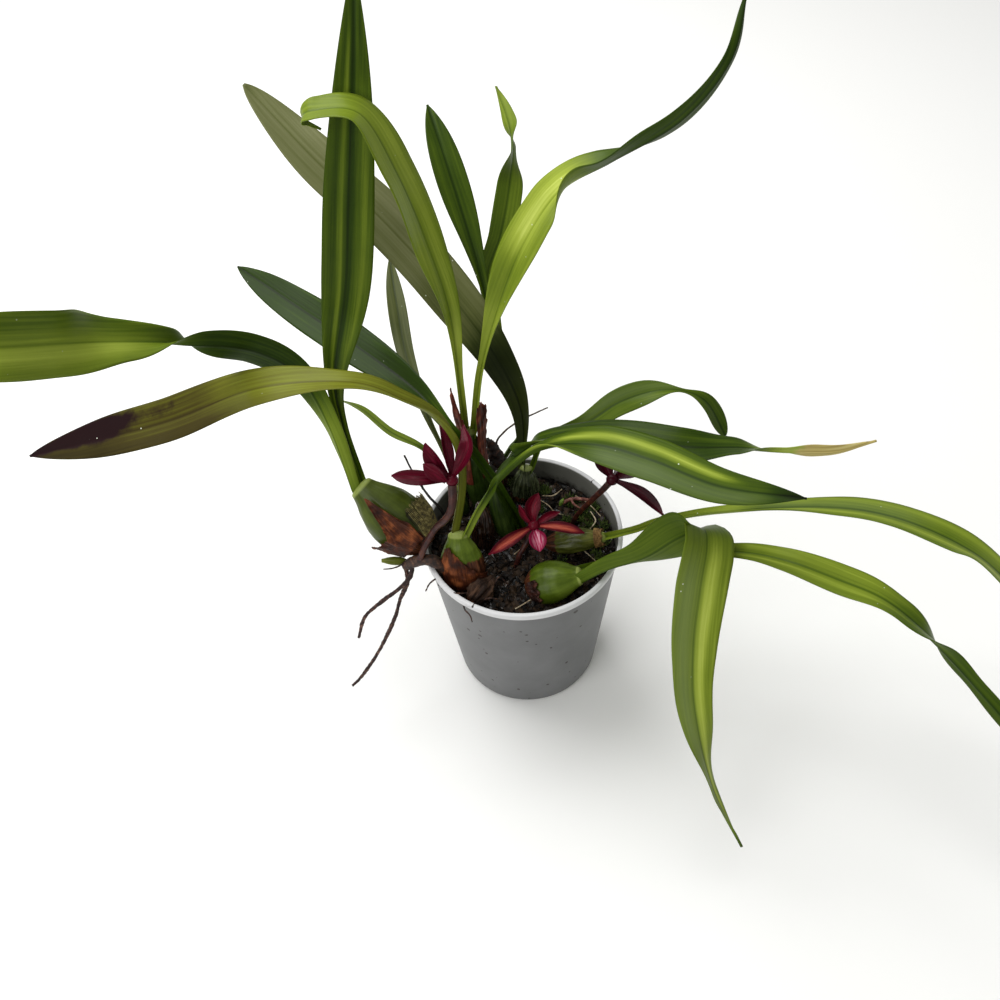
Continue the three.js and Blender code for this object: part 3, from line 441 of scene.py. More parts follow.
def stem(name, runs, material, slot, *stands_for, lumps=0.3, size=4.0, sides=12):
    """One piece of round stems. Each run is points, radii along it and a count, as paths takes them."""
    mesh = grown(name, paths(name, runs), stem_tree,
                 {"Lump depth": lumps * MM, "Lump size": size * MM, "Sides": sides, "Skin": material})
    mesh.shade_smooth()
    return mounted(name, mesh, material, slot, *stands_for)


# Rhizome: the creeping woody stem that the bulbs grow from. It rises from the bark, crosses the rim and hangs
# just outside, brown and scarred where old scales have rotted off.
RUNNER = [[-46, -21.5, 121], [-47.5, -21.5, 126.5], [-51, -21, 132], [-57, -20, 135], [-64, -19, 133.5],
          [-71, -17.5, 127]]
scarred = woody("scarred_rhizome", "#1a100c", "#3a241a", "#6b4a33", 2.5, 0.6)
stem("rhizome_stem", [(RUNNER, [3.4, 3.7, 3.3, 3.8, 3.2, 3.7, 3.4, 3.0], 60)], scarred, "rhizome", "rhizome",
     lumps=1.0, size=3.0, sides=20)

# Moss, threads and litter: moss grows in small cushions of fine shoots on the wet bark, pale root threads lie
# between the chips, and a dead pinkish twig with one green bud lies at the back.
MOSS = [[42, 8, 5], [44, -13, 4], [32, 4, 3.5], [48, -2, 4.5], [40, 19, 5], [22, -14, 3], [33, 31, 5], [17, 42, 4],
        [-3, 50, 3], [46, 25, 4], [28, 16, 3], [51, 9, 3], [12, 26, 3], [-46, -6, 3]]
moss_tree, given, result = new_tree(
    "moss_cushion", {"Shoots a square metre": 1000.0, "Shoot": 0.003, "Thickness": 0.0003, "Seed": 1, "Skin": None})
rooted = add(moss_tree, "GeometryNodeDistributePointsOnFaces", {
    "Mesh": given.outputs["Geometry"], "Density": given.outputs["Shoots a square metre"],
    "Seed": given.outputs["Seed"]})
shoot = add(moss_tree, "GeometryNodeMeshCone", {
    "Vertices": 4, "Side Segments": 1, "Radius Top": 0.00008, "Radius Bottom": given.outputs["Thickness"],
    "Depth": given.outputs["Shoot"]})
lean = add(moss_tree, "FunctionNodeRandomValue", {0: (-0.8, -0.8, 0.0), 1: (0.8, 0.8, 6.28), "Seed": 8},
           data_type="FLOAT_VECTOR")
lean_to = add(moss_tree, "FunctionNodeEulerToRotation", {0: lean.outputs[0]})
tall = add(moss_tree, "FunctionNodeRandomValue", {2: 0.5, 3: 1.3, "Seed": 9}, data_type="FLOAT")
shoots = add(moss_tree, "GeometryNodeInstanceOnPoints", {
    "Points": rooted, "Instance": shoot, "Rotation": lean_to, "Scale": tall.outputs[1]})
moss_plain = add(moss_tree, "GeometryNodeRealizeInstances", {0: shoots})
moss_done = add(moss_tree, "GeometryNodeSetMaterial", {0: moss_plain, "Material": given.outputs["Skin"]})
feed(moss_tree, result, {0: moss_done})
AROUND_MOSS, MOSS_RISE = 9, 1.2
moss_points, moss_faces = [], []
for x, y, radius in MOSS:
    turn = np.linspace(0, 2 * math.pi, AROUND_MOSS, endpoint=False)
    ring = [(x + radius * (1 + 0.3 * math.sin(3 * a + x)) * math.cos(a), y + radius * math.sin(a)) for a in turn]
    moss_faces.append(list(range(len(moss_points), len(moss_points) + AROUND_MOSS)))
    moss_points += [(px * MM, py * MM, (bark_height(px, py) + MOSS_RISE) * MM) for px, py in ring]
moss_beds = bpy.data.meshes.new("moss_beds")
moss_beds.from_pydata(moss_points, [], moss_faces)
moss_skin = woody("green_moss", "#1c2a08", "#42561a", "#7f9440", 3, 0.8)
moss = grown("moss_cushions", moss_beds, moss_tree, {
    "Shoots a square metre": 2600000.0, "Shoot": 0.0034, "Thickness": 0.00032, "Seed": 21, "Skin": moss_skin})
mounted("moss_cushions", moss, moss_skin, "bark")
THREADS = [[[13, 33, 117], [18, 27, 118.5], [22, 22, 117], [30, 18, 117]],
           [[36, 34, 117], [43, 26, 118.5], [50, 16, 117]], [[24, -2, 117.5], [34, -8, 118.5], [43, -18, 117]],
           [[-6, -8, 117], [2, -2, 118.5], [9, 6, 117.5]], [[-8, -47, 117], [0, -43, 118], [7, -38, 117]],
           [[28, 40, 117], [22, 34, 119], [15, 36, 117]], [[40, 4, 117.5], [46, 11, 119], [44, 20, 117.5]]]
thread_skin = woody("pale_root_thread", "#5c4a36", "#a8977a", "#d9cdb0", 3, 0.6)
stem("root_threads", [(spine, [0.35, 0.45, 0.3], 26) for spine in THREADS], thread_skin, "root", lumps=0.3, size=3,
     sides=6)
twig_skin = woody("dead_pink_twig", "#4a2420", "#7d4a3f", "#b08674", 3, 0.6)
stem("litter_twig", [([[27, 28, 118], [33, 30, 119], [39, 29, 119.5], [45, 28, 118.5]], [1.3, 1.0, 1.2, 0.9], 36),
                     ([[33, 30, 119], [34, 26, 119], [38, 23, 117.5]], [0.8, 0.7, 0.5], 16)], twig_skin, "root",
     lumps=0.6, size=2.5, sides=8)
bud_skin = woody("green_bud", "#33480f", "#6d8a2c", "#a9bb5a", 4, 0.5)
stem("litter_bud", [([[25.5, 27, 117], [26.5, 28, 119], [28, 29, 121.5]], [0.8, 1.5, 0.3], 16)], bud_skin, "root",
     lumps=0.3, size=2, sides=10)

# Pseudobulbs: flattened water-storing swellings with a leaf scar at the crown. Young ones are smooth, green and
# waxy with faint ribs, and old ones are shrunken, brown and wrinkled lengthwise.
# The profile is how full a bulb is at each share of its height. Each bulb then has a foot and a crown, its width
# and thickness, the way that its flat face looks, its skin, its ribs' count and depth, and its lumps' depth and size.
BULB_PROFILE = [[0, 0.4], [0.1, 0.7], [0.26, 0.94], [0.45, 1], [0.64, 0.9], [0.8, 0.7], [0.92, 0.5], [1, 0.42]]
BULBS = {
    "pseudobulb_01": dict(foot=[-57.5, -11.5, 136.5], crown=[-92.5, 14, 165.5], wide=36, thick=21,
                          faces=[-0.1, -0.75, 0.65], skin="olive", ribs=(9, 0.012), lumps=(0.35, 9)),
    "pseudobulb_02": dict(foot=[-36, -28, 110], crown=[-38, -12, 147], wide=28, thick=17, faces=[-0.2, -0.8, 0.5],
                          skin="fresh", ribs=(8, 0.02), lumps=(0.9, 6)),
    "pseudobulb_03": dict(foot=[-8, 9, 109], crown=[-15, 21, 149], wide=15, thick=12, faces=[0.3, -0.8, 0.3],
                          skin="dark", ribs=(7, 0.03), lumps=(0.3, 6)),
    "pseudobulb_04": dict(foot=[3, 38, 109], crown=[6, 43, 138], wide=19, thick=14, faces=[0, -0.9, 0.3],
                          skin="wet", ribs=(13, 0.05), lumps=(0.8, 4)),
    "pseudobulb_05": dict(foot=[-24, 1, 109], crown=[-24, 13, 142], wide=15, thick=11, faces=[0, -0.9, 0.3],
                          skin="brown", ribs=(12, 0.07), lumps=(0.8, 4)),
    "pseudobulb_06": dict(foot=[-24, 34, 109], crown=[-27, 42, 177], wide=16, thick=14, faces=[0.2, -0.9, 0.2],
                          skin="dark", ribs=(9, 0.03), lumps=(0.4, 6)),
    "pseudobulb_07": dict(foot=[-15, 44, 109], crown=[-8, 46, 140], wide=10, thick=10, faces=[0.2, -0.9, 0.2],
                          skin="brown", ribs=(10, 0.06), lumps=(0.9, 4)),
    "pseudobulb_08": dict(foot=[14, -3, 119], crown=[48, -9, 129], wide=16, thick=13, faces=[0, -0.5, 0.9],
                          skin="rust", ribs=(9, 0.04), lumps=(0.4, 6)),
    "pseudobulb_09": dict(foot=[0, -33, 118], crown=[31, -36, 130], wide=26, thick=20, faces=[-0.3, -0.3, 0.9],
                          skin="fresh", ribs=(7, 0.004), lumps=(0.3, 9)),
    "pseudobulb_10": dict(foot=[-36, 30, 109], crown=[-39, 34, 134], wide=12, thick=10, faces=[0, -0.9, 0.3],
                          skin="dark", ribs=(9, 0.03), lumps=(0.4, 6)),
    "pseudobulb_dead": dict(foot=[-34, -41, 119], crown=[-21, -29, 124], wide=15, thick=12, faces=[0, -0.3, 0.9],
                            skin="dead", ribs=(11, 0.1), lumps=(3.2, 5)),
}


def axes_of(bulb):
    """A bulb's foot, its axis, the direction of its flat face and that of its side"""
    foot = np.array(bulb["foot"], float)
    axis = np.array(bulb["crown"]) - foot
    along = axis / np.linalg.norm(axis)
    face = np.array(bulb["faces"], float)
    face -= along * (face @ along)
    face /= np.linalg.norm(face)
    return foot, axis, face, np.cross(along, face)


def on_bulb(bulb, v, turn, lift=0.0, least=0.0):
    """Places on a bulb's skin moved out by lift. Turn is 0 on the flat face and a quarter turn on the side."""
    foot, axis, face, side = axes_of(bulb)
    reach = np.interp(v, *zip(*BULB_PROFILE))
    wide = np.maximum(reach * bulb["wide"] / 2, least) + lift
    thick = np.maximum(reach * bulb["thick"] / 2, least) + lift
    return (foot + v[..., None] * axis + (thick * np.cos(turn))[..., None] * face
            + (wide * np.sin(turn))[..., None] * side)


def waxy(name, dark, mid, light, gloss, coat, rib_mm=1.6, patch=0.4, line=0.5):
    """Living or shrunken bulb skin: lengthwise ribs and blotches under a wax or water film, a pale leaf scar at the
    crown, and painted light that makes it paler towards the crown
    """
    material, tree, shader = material_of(name, {"IOR": 1.45, "Specular IOR Level": 0.2, "Coat Weight": coat,
                                                "Coat Roughness": 0.15})
    spot = add(tree, "ShaderNodeTexCoord").outputs["Object"]
    round_mm, along_mm, height, husk = (add(tree, "ShaderNodeAttribute", attribute_name=field).outputs["Fac"]
                                        for field in ("round_mm", "along_mm", "height", "husk"))
    stretched = add(tree, "ShaderNodeMath", {0: along_mm, 1: 0.07}, operation="MULTIPLY")
    flow = add(tree, "ShaderNodeCombineXYZ", {0: round_mm, 1: stretched})
    ribs = add(tree, "ShaderNodeTexNoise", {"Vector": flow, "Scale": 1 / rib_mm, "Detail": 3})
    blotch = add(tree, "ShaderNodeTexNoise", {"Vector": spot, "Scale": 1 / 0.011, "Detail": 4})
    lined = add(tree, "ShaderNodeMath", {0: ribs, 1: line * 2}, operation="MULTIPLY")
    both = add(tree, "ShaderNodeMath", {0: blotch, 1: patch, 2: lined}, operation="MULTIPLY_ADD")
    # Painted light: the skin grows paler with height, as if lit from above
    lit_towards_crown = add(tree, "ShaderNodeMath", {0: height, 1: 0.14, 2: both}, operation="MULTIPLY_ADD")
    evened = add(tree, "ShaderNodeMath", {0: lit_towards_crown, 1: patch * 0.5 + line - 0.43}, operation="SUBTRACT")
    colour = add(tree, "ShaderNodeValToRGB", {0: evened}, stops=[(0.3, dark), (0.5, mid), (0.72, light)])
    # Below the husk line the skin is hidden by rotted brown scale, ragged along its edge
    frayed = add(tree, "ShaderNodeTexNoise", {"Vector": flow, "Scale": 1 / 2.5, "Detail": 4, "Roughness": 0.7})
    husk_edge = add(tree, "ShaderNodeMath", {0: frayed, 1: 0.7, 2: husk}, operation="MULTIPLY_ADD")
    husked = add(tree, "ShaderNodeMapRange", {0: husk_edge, 1: 0.82, 2: 0.9})
    scale_brown = add(tree, "ShaderNodeValToRGB", {0: frayed},
                      stops=[(0.3, "#140a06"), (0.5, "#3b1e11"), (0.72, "#7a4a2b")])
    foot = add(tree, "ShaderNodeMix", {0: husked, 6: colour, 7: scale_brown}, data_type="RGBA")
    scar = add(tree, "ShaderNodeMapRange", {0: height, 1: 0.96, 2: 0.985, 4: 0.8})
    crown = add(tree, "ShaderNodeMix", {0: scar, 6: foot.outputs[2], 7: linear("#97a455")}, data_type="RGBA")
    satin = add(tree, "ShaderNodeMapRange", {0: blotch, 1: 0.3, 2: 0.7, 3: gloss - 0.06, 4: gloss + 0.1})
    relief = add(tree, "ShaderNodeBump", {"Height": ribs, "Strength": 0.35, "Distance": 0.0006})
    feed(tree, shader, {"Base Color": crown.outputs[2], "Roughness": satin, "Normal": relief})
    return material


BULB_SKINS = {
    "olive": waxy("waxy_olive_bulb", "#262f08", "#3c4710", "#5b6a20", 0.36, 0.1, 3.2, 0.3, 0.14),
    "young": waxy("young_shoot_scale", "#33330a", "#5c6418", "#9a9c38", 0.4, 0.05, 3.2, 0.3, 0.14),
    "fresh": waxy("waxy_green_bulb", "#263205", "#42530b", "#728629", 0.34, 0.05, 3.2, 0.3, 0.12),
    "dark": waxy("dark_green_bulb", "#1a2809", "#2c3f12", "#4a5c22", 0.4, 0.15, 1.6, 0.4, 0.3),
    "wet": waxy("wet_wrinkled_bulb", "#171d10", "#333a24", "#767f5c", 0.24, 0.8),
    "brown": waxy("wet_brown_bulb", "#0e0805", "#23140c", "#4c3220", 0.28, 0.7),
    "rust": waxy("olive_brown_bulb", "#2b2a10", "#474d18", "#6a6a2c", 0.4, 0.15, 1.6, 0.7, 0.3),
    "dead": waxy("withered_bulb", "#0f0906", "#271912", "#5a4130", 0.65, 0.0, 1.2, 0.8, 0.3),
}
# How far up rotted scale still hides the skin, as a share of the height
HUSKS = {"pseudobulb_01": 0.2, "pseudobulb_02": 0.62, "pseudobulb_04": 0.3, "pseudobulb_08": 0.2,
         "pseudobulb_09": 0.15}
NO_HUSK, HUSK_FADE = 0.05, 0.06
OLD_BULBS, BELOW_SCAR = ("pseudobulb_dead", "pseudobulb_05"), 0.9
AROUND_BULB, ALONG_BULB, SMOOTHINGS, WANDER, SWAY, RIB_SPREAD = 84, 60, 5, 12, 6, 1.2
# The crown closes in a low dome that the leaves stand on: each ring's share of the crown, and its rise
CROWN_DOME = [(0.88, 0.7), (0.62, 1.4), (0.25, 1.8)]
for name, bulb in BULBS.items():
    v, turn = np.meshgrid(np.linspace(0, 1, ALONG_BULB), np.linspace(0, 2 * math.pi, AROUND_BULB, endpoint=False),
                          indexing="ij")
    rings = on_bulb(bulb, v, turn)
    for _ in range(SMOOTHINGS):
        rings[1:-1] = (rings[:-2] + 2 * rings[1:-1] + rings[2:]) / 4
    middle = rings.mean(1, keepdims=True)
    count, depth = bulb["ribs"]
    rough, grain = bulb["lumps"]
    swell = np.sin(math.pi * np.clip(v, 0.02, 0.98)) ** 0.5
    wander = np.array([[noise.noise(Vector(p / WANDER)) for p in ring] for ring in rings])
    folds = np.cos(turn * count + wander * SWAY) * depth * swell
    knobs = np.array([[noise.fractal(Vector(p / grain), 1.0, 2.0, 3) for p in ring] for ring in rings])
    outward = rings - middle
    size = np.linalg.norm(outward, axis=2, keepdims=True)
    rings = middle + outward * (1 - depth + folds[..., None]) + outward / size * (knobs * rough * 0.5)[..., None]
    axis = np.array(bulb["crown"]) - bulb["foot"]
    length = np.linalg.norm(axis)
    centre = rings[-1].mean(0)
    shoulder = [centre + (rings[-1] - centre) * share + axis / length * rise for share, rise in CROWN_DOME]
    rings = np.concatenate([rings, shoulder])
    v, turn = (np.concatenate([field] + [field[-1:]] * len(CROWN_DOME)) for field in (v, turn))
    husk = 1 / (1 + np.exp((v - HUSKS.get(name, NO_HUSK)) / HUSK_FADE))
    # An old bulb has lost its green leaf scar
    slot = "old_bulb" if name in OLD_BULBS else "bulb"
    height = np.minimum(v, BELOW_SCAR) if slot == "old_bulb" else v
    round_mm = np.sin(turn) * bulb["wide"] / 2 * RIB_SPREAD
    fields = {"height": height, "along_mm": v * length, "round_mm": round_mm, "husk": husk}
    piece(name + "_skin", [skin(rings, **fields)], BULB_SKINS[bulb["skin"]], slot, name)

# Leaves: leathery straps folded into a channelled stalk at the foot. The upper face is satin and the lower one
# duller, with a sunk midrib drawn in painted shade, fine lengthwise veins, and painted light: paler where light
# shines through and where it falls on the blade, darker where it lies in shade, and a painted grey-green sheen.
# Folds are in degrees. A leaf's spine runs from foot to tip, and every place on it is a share of its length: where
# the stalk opens (stem), where the blade is widest, and the keys of the way that its upper face looks (facing). A
# waist or crimp is a place, a strength and a span. Tone bands are paler and darker tissue together with painted
# light and shade, sheen bands a painted grey-green sheen, burnt bands scorched tissue and dry bands papery tissue,
# each with a middle, a half width, a start, an end and a strength.
BLADE, STALK_DEPTH, STALK_FOLD, BLADE_FOLD = 0.8, 1.6, 45, 8
BLADE_FALL, BLADE_LEAST, OPENING = (2.2, 0.9), 1.2, 0.35
LEAVES = {
    "leaf_01_far_left": dict(
        spine=[[-96.5, 12.5, 164.5], [-105, 32.5, 200], [-118.5, 48, 226], [-137.5, 44.5, 249.5],
               [-161.5, 27.5, 272], [-188, -1, 301.5], [-214, -37, 333], [-240, -52, 347], [-274, -68, 352]],
        wide=30, stalk=8.5, stem=-0.1, widest=0.72, waist=[0.47, 0.45, 0.1], crimp=[0.48, 40, 0.05],
        facing=[[0, 0.4, 0.7, 0.2], [0.1, 0.3, 0.7, 0], [0.22, 0.2, 0.8, -0.6], [0.38, 0.3, 0.8, -0.5],
                [0.58, 0.2, -0.4, 0.9], [0.7, 0.2, -0.9, 0.6], [1, 0.2, -0.5, 0.9]],
        tone_and_painted_light=[(0, 3, 0, 0.16, 0.26), (-0.3, 0.4, 0.55, 1, 0.24), (0, 3, 0.5, 1, 0.14), (0.75, 0.35, 0.5, 1, -0.1),
              (0, 2, 0.22, 0.46, -0.16)], painted_sheen=[(0, 1, 0.85, 1.1, 0.2)]),
    "leaf_02_brown_tip": dict(
        spine=[[-40.5, -11, 147], [-34, 3, 172], [-34, 10, 199], [-43, 14, 219], [-58, 15.5, 232],
               [-85, 19.5, 244.5], [-136, 24, 241], [-195, 26.5, 218], [-283, 38, 188]],
        wide=27, stalk=7, stem=0.1, widest=0.72,
        facing=[[0, 0.3, 0.5, 0.3], [0.3, 0.2, 0.2, 0.8], [0.6, 0, -0.3, 0.8], [1, 0, -0.5, 0.9]],
        skin="olive", tone_and_painted_light=[(0, 3, 0, 0.6, 0.1), (0.1, 0.9, 0.3, 0.55, 0.04), (-0.8, 0.35, 0.5, 1, -0.1),
                            (0, 3, 0.6, 1.1, -0.12), (0, 3, 0.8, 1.1, -0.1)],
        burnt=[(0.35, 0.6, 0.8, 0.97, 0.95), (0.6, 0.5, 0.66, 0.95, 0.4), (0, 3, 0.975, 1.1, 0.95)]),
    "leaf_03_back_left": dict(
        spine=[[0, 14, 113], [-4, 11, 133], [-9, 11, 148], [-14, 13, 161], [-21, 18, 173], [-28, 23, 183],
               [-37, 28, 193], [-58, 64.5, 192.5], [-96, 108, 193], [-143, 157, 194], [-177, 193, 195]],
        wide=26, stalk=8.5, stem=0.25, widest=0.66, fall=[2.8, 0.8],
        facing=[[0, 0.3, -0.8, 0.3], [0.3, 0, -0.5, 0.8], [1, 0, -0.4, 0.9]],
        tone_and_painted_light=[(0, 3, 0, 1, -0.1), (-0.6, 0.4, 0.4, 0.85, 0.06), (0.85, 0.2, 0.5, 1, 0.04),
              (0, 3, 0.4, 1.1, -0.14), (0, 3, 0, 0.3, -0.08)]),
    "leaf_04_front_arch": dict(
        spine=[[-34.5, -14, 147], [-24, -9, 167], [-10, -5, 187], [11.5, -3, 206], [38.5, -16.5, 221],
               [65, -34, 226], [96.5, -55, 226], [135, -68, 228]],
        wide=24, stalk=6, stem=0.24, widest=0.6,
        facing=[[0, 0.5, -0.5, 0.5], [0.3, 0.4, 0.3, 0.8], [0.55, 0, -0.4, 0.9], [1, 0, -0.5, 0.9]],
        tone_and_painted_light=[(0, 3, 0, 0.12, 0.24), (0, 3, 0.1, 1, -0.07), (-0.5, 0.2, 0.38, 0.84, 0.48), (0, 3, 0.94, 1.1, -0.3),
              (0.95, 0.14, 0.3, 0.46, 0.4)], painted_sheen=[(0.5, 0.4, 0.5, 0.9, 0.2)]),
    "leaf_05_upright": dict(
        spine=[[-91.5, 16.5, 166.5], [-100.5, 44.5, 185.5], [-100, 52.5, 218], [-85, 62, 271], [-75, 74, 322],
               [-65, 84, 373], [-57, 95, 420]],
        wide=27, stalk=7, stem=0.1, widest=0.5,
        facing=[[0, 0.3, -0.9, 0.4], [1, 0.1, -0.9, 0.3]],
        tone_and_painted_light=[(0, 3, 0, 1, -0.1), (-0.3, 0.1, 0.02, 0.9, 0.34), (0.62, 0.16, 0.1, 0.8, 0.24),
              (0.35, 0.12, 0.1, 0.9, 0.1), (0.1, 0.1, 0.1, 0.95, -0.1), (-0.85, 0.14, 0.1, 0.95, 0.1),
              (0.95, 0.14, 0.1, 0.95, 0.1)]),
    "leaf_06_grey_olive": dict(
        spine=[[4, 43, 138], [5, 58, 172], [-7, 65, 210], [-31, 80.5, 247.5], [-65, 99, 289], [-93, 115, 312.5],
               [-130, 148, 343]],
        wide=32, stalk=6, stem=-0.06, widest=0.58, fall=[3, 0.7],
        facing=[[0, -0.6, -0.6, 0.4], [0.3, 0.2, -0.7, 0.6], [0.6, 0.5, -0.5, 0.7], [1, 0.5, -0.5, 0.7]],
        skin="grey", tone_and_painted_light=[(0, 3, 0, 0.32, -0.24), (0, 3, 0.36, 1, 0.2), (0, 3, 0.2, 0.5, -0.14),
                           (0.7, 0.3, 0.3, 0.9, 0.1), (-0.5, 0.12, 0.4, 1, -0.06), (0.3, 0.08, 0.4, 1, -0.06)]),
    "leaf_07_left_arch": dict(
        spine=[[-29.5, 43, 177], [-30, 46, 214], [-31, 50, 262], [-38.5, 53.5, 303.5], [-48.5, 56, 342],
               [-62, 66, 366.5], [-84, 69.5, 368], [-89.5, 72.5, 362], [-82.5, 72, 356]],
        wide=27, stalk=6, stem=0.15, widest=0.7,
        facing=[[0, 0.3, -0.9, 0.3], [0.5, 0.6, -0.5, 0.6], [0.8, 0.5, 0, 1], [0.93, -0.6, 0, 0.4],
                [1, -0.6, -0.2, -0.6]],
        tone_and_painted_light=[(0, 3, 0, 0.3, 0.36), (0, 3, 0.3, 1, 0.2), (0.45, 0.3, 0.25, 0.8, 0.12), (-0.6, 0.3, 0.3, 0.8, 0.08)]),
    "leaf_08_tall_right": dict(
        spine=[[-24, 41.5, 177], [-17, 52, 215], [-4, 55, 260], [10, 57, 295.5], [28.5, 54, 327], [51, 48.5, 344],
               [80, 42.5, 365], [99, 45, 389], [105.5, 57, 411]],
        wide=26, stalk=6, stem=0.15, widest=0.46, crimp=[0.62, 25, 0.05], fall=[1.7, 0.9],
        facing=[[0, -0.3, -0.9, 0.3], [0.35, -0.6, -0.5, 0.5], [0.52, -0.6, -0.4, 0.8], [0.64, -0.3, 0.3, 0.8],
                [0.76, -0.2, 0.75, 0.5], [1, 0, 0.75, 0.5]],
        tone_and_painted_light=[(0, 3, 0, 0.3, 0.34), (0, 3, 0.3, 0.62, 0.16), (-0.3, 0.7, 0.42, 0.62, 0.34), (0.95, 0.2, 0.3, 0.6, 0.1),
              (0, 3, 0.66, 1.1, -0.12)]),
    "leaf_09_back_dark": dict(
        spine=[[-9.5, 47.5, 140], [-3, 57, 142], [3, 66, 146], [-3, 78, 173], [-9, 93, 204], [-12, 113, 225],
               [-18, 133.5, 247.5], [-26.5, 160.5, 271.5], [-37, 199, 296]],
        wide=20, stalk=4, stem=0.4, widest=0.8,
        facing=[[0, 0.3, -0.9, 0.3], [1, 0.3, -0.7, 0.5]],
        tone_and_painted_light=[(0, 3, 0, 1, -0.12), (-0.6, 0.2, 0.3, 0.9, 0.1), (0.6, 0.2, 0.3, 0.9, 0.06)]),
    "leaf_10_back_twisted": dict(
        spine=[[-6.5, 45.5, 140], [0, 58, 139], [7, 73, 140], [0.5, 88, 164], [-6.5, 112, 201], [-9, 127, 222],
               [1, 148, 236], [9, 175, 252], [13.5, 199, 267], [11, 215.5, 277], [6, 232, 286]],
        wide=18, stalk=4, stem=0.25, widest=0.7, waist=[0.84, 0.35, 0.04],
        facing=[[0, 0, -0.9, 0.3], [0.73, 0.3, -0.8, 0.5], [0.84, 0.9, -0.3, 0], [0.91, 0.4, 0.8, -0.3],
                [1, 0.4, 0.8, -0.3]],
        tone_and_painted_light=[(0.5, 0.5, 0.3, 0.8, 0.08), (0, 3, 0.87, 1.1, 0.3)]),
    "leaf_11_small_back": dict(
        spine=[[-37.5, 35, 134], [-45, 58, 143], [-56, 89, 150], [-67, 132, 161], [-72, 171, 177], [-75, 202, 187]],
        wide=13, stalk=4, stem=0.15, widest=0.72,
        facing=[[0, 0, -0.9, 0.4], [1, 0, -0.8, 0.6]],
        skin="grey", tone_and_painted_light=[(0, 3, 0, 1, -0.06)]),
    "leaf_12_thin_back": dict(
        spine=[[-41, 34, 134], [-48, 46, 141], [-59.5, 67, 137], [-81.5, 92, 128.5], [-102, 122, 121],
               [-122, 147, 108.5]],
        wide=6, stalk=4, stem=0.15, widest=0.5,
        facing=[[0, 0, -0.2, 0.9], [1, 0, 0.1, 1]],
        tone_and_painted_light=[(0, 3, 0.3, 1, 0.16)]),
    "leaf_13_dry_tip": dict(
        spine=[[-15, 21, 149], [-10, 20, 165], [0, 15, 183], [13.5, 11, 198], [44, 3, 208], [84, -17, 215],
               [115, -21, 215], [139, -24, 213], [165, -24, 210], [188, -18, 209]],
        wide=23, stalk=6, stem=0, widest=0.4, waist=[0.76, 0.4, 0.05], fall=[1.7, 0.9],
        facing=[[0, 0.5, -0.5, 0.5], [0.3, 0.4, 0.2, 0.8], [0.55, 0, -0.3, 0.8], [0.68, 0, 0.2, 0.9],
                [0.78, 0, 0.8, 0.4], [0.86, 0, 0.9, 0], [1, 0, 0.9, 0]],
        tone_and_painted_light=[(0, 3, 0, 0.76, -0.14), (0.85, 0.2, 0.15, 0.5, 0.24), (-0.5, 0.1, 0.2, 0.7, 0.12),
              (0, 3, 0.74, 0.88, 0.5)],
        dry=[(0, 4, 0.82, 1.3, 1.0)]),
    "leaf_14_small_arch": dict(
        spine=[[9, 42.5, 137], [19, 53, 151], [43.5, 53.5, 162], [64.5, 57, 175], [86, 58, 181.5],
               [103, 56, 181.5], [117, 51, 174.5], [128, 40, 156]],
        wide=17, stalk=5, stem=0.05, widest=0.52, waist=[0.73, 0.8, 0.1], fall=[5, 0.6],
        facing=[[0, 0, -0.5, 0.8], [0.45, 0, -0.5, 0.8], [0.7, 0.2, -0.2, 0.9], [0.85, 0.7, -0.5, 0.5],
                [1, 0.6, -0.8, 0.2]],
        tone_and_painted_light=[(0.5, 0.5, 0.2, 0.7, 0.06), (0, 3, 0.8, 1.1, -0.1)], painted_sheen=[(-0.5, 0.4, 0.3, 0.7, 0.15)]),
    "leaf_15_long_right": dict(
        spine=[[48, -9, 129], [66, -12, 138], [82, -11, 143], [116, -11.5, 148.5], [170, -19.5, 156.5],
               [204, -36, 164], [233.5, -60, 165.5], [247.5, -85, 166], [266, -119, 151]],
        wide=26, stalk=6, stem=0.15, widest=0.8,
        facing=[[0, 0, -0.5, 0.8], [0.3, 0.3, 0.3, 0.9], [0.6, 0.3, 0, 0.9], [1, 0.6, -0.1, 0.6]],
        tone_and_painted_light=[(0, 3, 0, 0.3, 0.3), (0, 3, 0.25, 1, 0.1), (-0.75, 0.2, 0.3, 1, 0.16), (0.5, 0.2, 0.3, 1, 0.22),
              (0, 0.2, 0.3, 1, -0.08)], painted_sheen=[(-0.3, 0.6, 0.35, 0.65, 0.15)]),
    "leaf_16_low_right": dict(
        spine=[[31.5, -32, 131.5], [66.5, -29.5, 136], [111.5, -45.5, 156.5], [136, -62.5, 169],
               [160.5, -78.5, 170.5], [183, -94, 169], [206.5, -116, 156], [233, -143.5, 133.5], [250, -166, 116]],
        wide=18.5, stalk=5, stem=0.15, widest=0.58, waist=[0.8, 0.35, 0.08],
        facing=[[0, 0, -0.4, 0.9], [0.5, 0.1, -0.3, 0.9], [0.64, 0.6, -0.2, 0.7], [0.79, 0.8, 0.35, -0.3],
                [0.9, 0.4, 0.6, -0.6], [1, 0.5, 0.7, -0.6]],
        tone_and_painted_light=[(0, 3, 0.25, 0.62, 0.14), (0, 3, 0.62, 1, -0.05), (-0.7, 0.3, 0.3, 0.75, 0.12),
              (0.4, 0.2, 0.3, 0.75, 0.16)]),
    "leaf_17_folded": dict(
        spine=[[31, -39.5, 129.5], [46, -38.5, 139], [66.5, -41, 152], [83, -41.5, 168], [95.5, -42, 175.5],
               [96, -54, 175], [90, -73, 163], [85, -94.5, 138], [85, -116, 109], [95.5, -141, 62.5],
               [113, -163, 26]],
        wide=33, stalk=7, stem=-0.1, widest=0.3, fall=[1.3, 1],
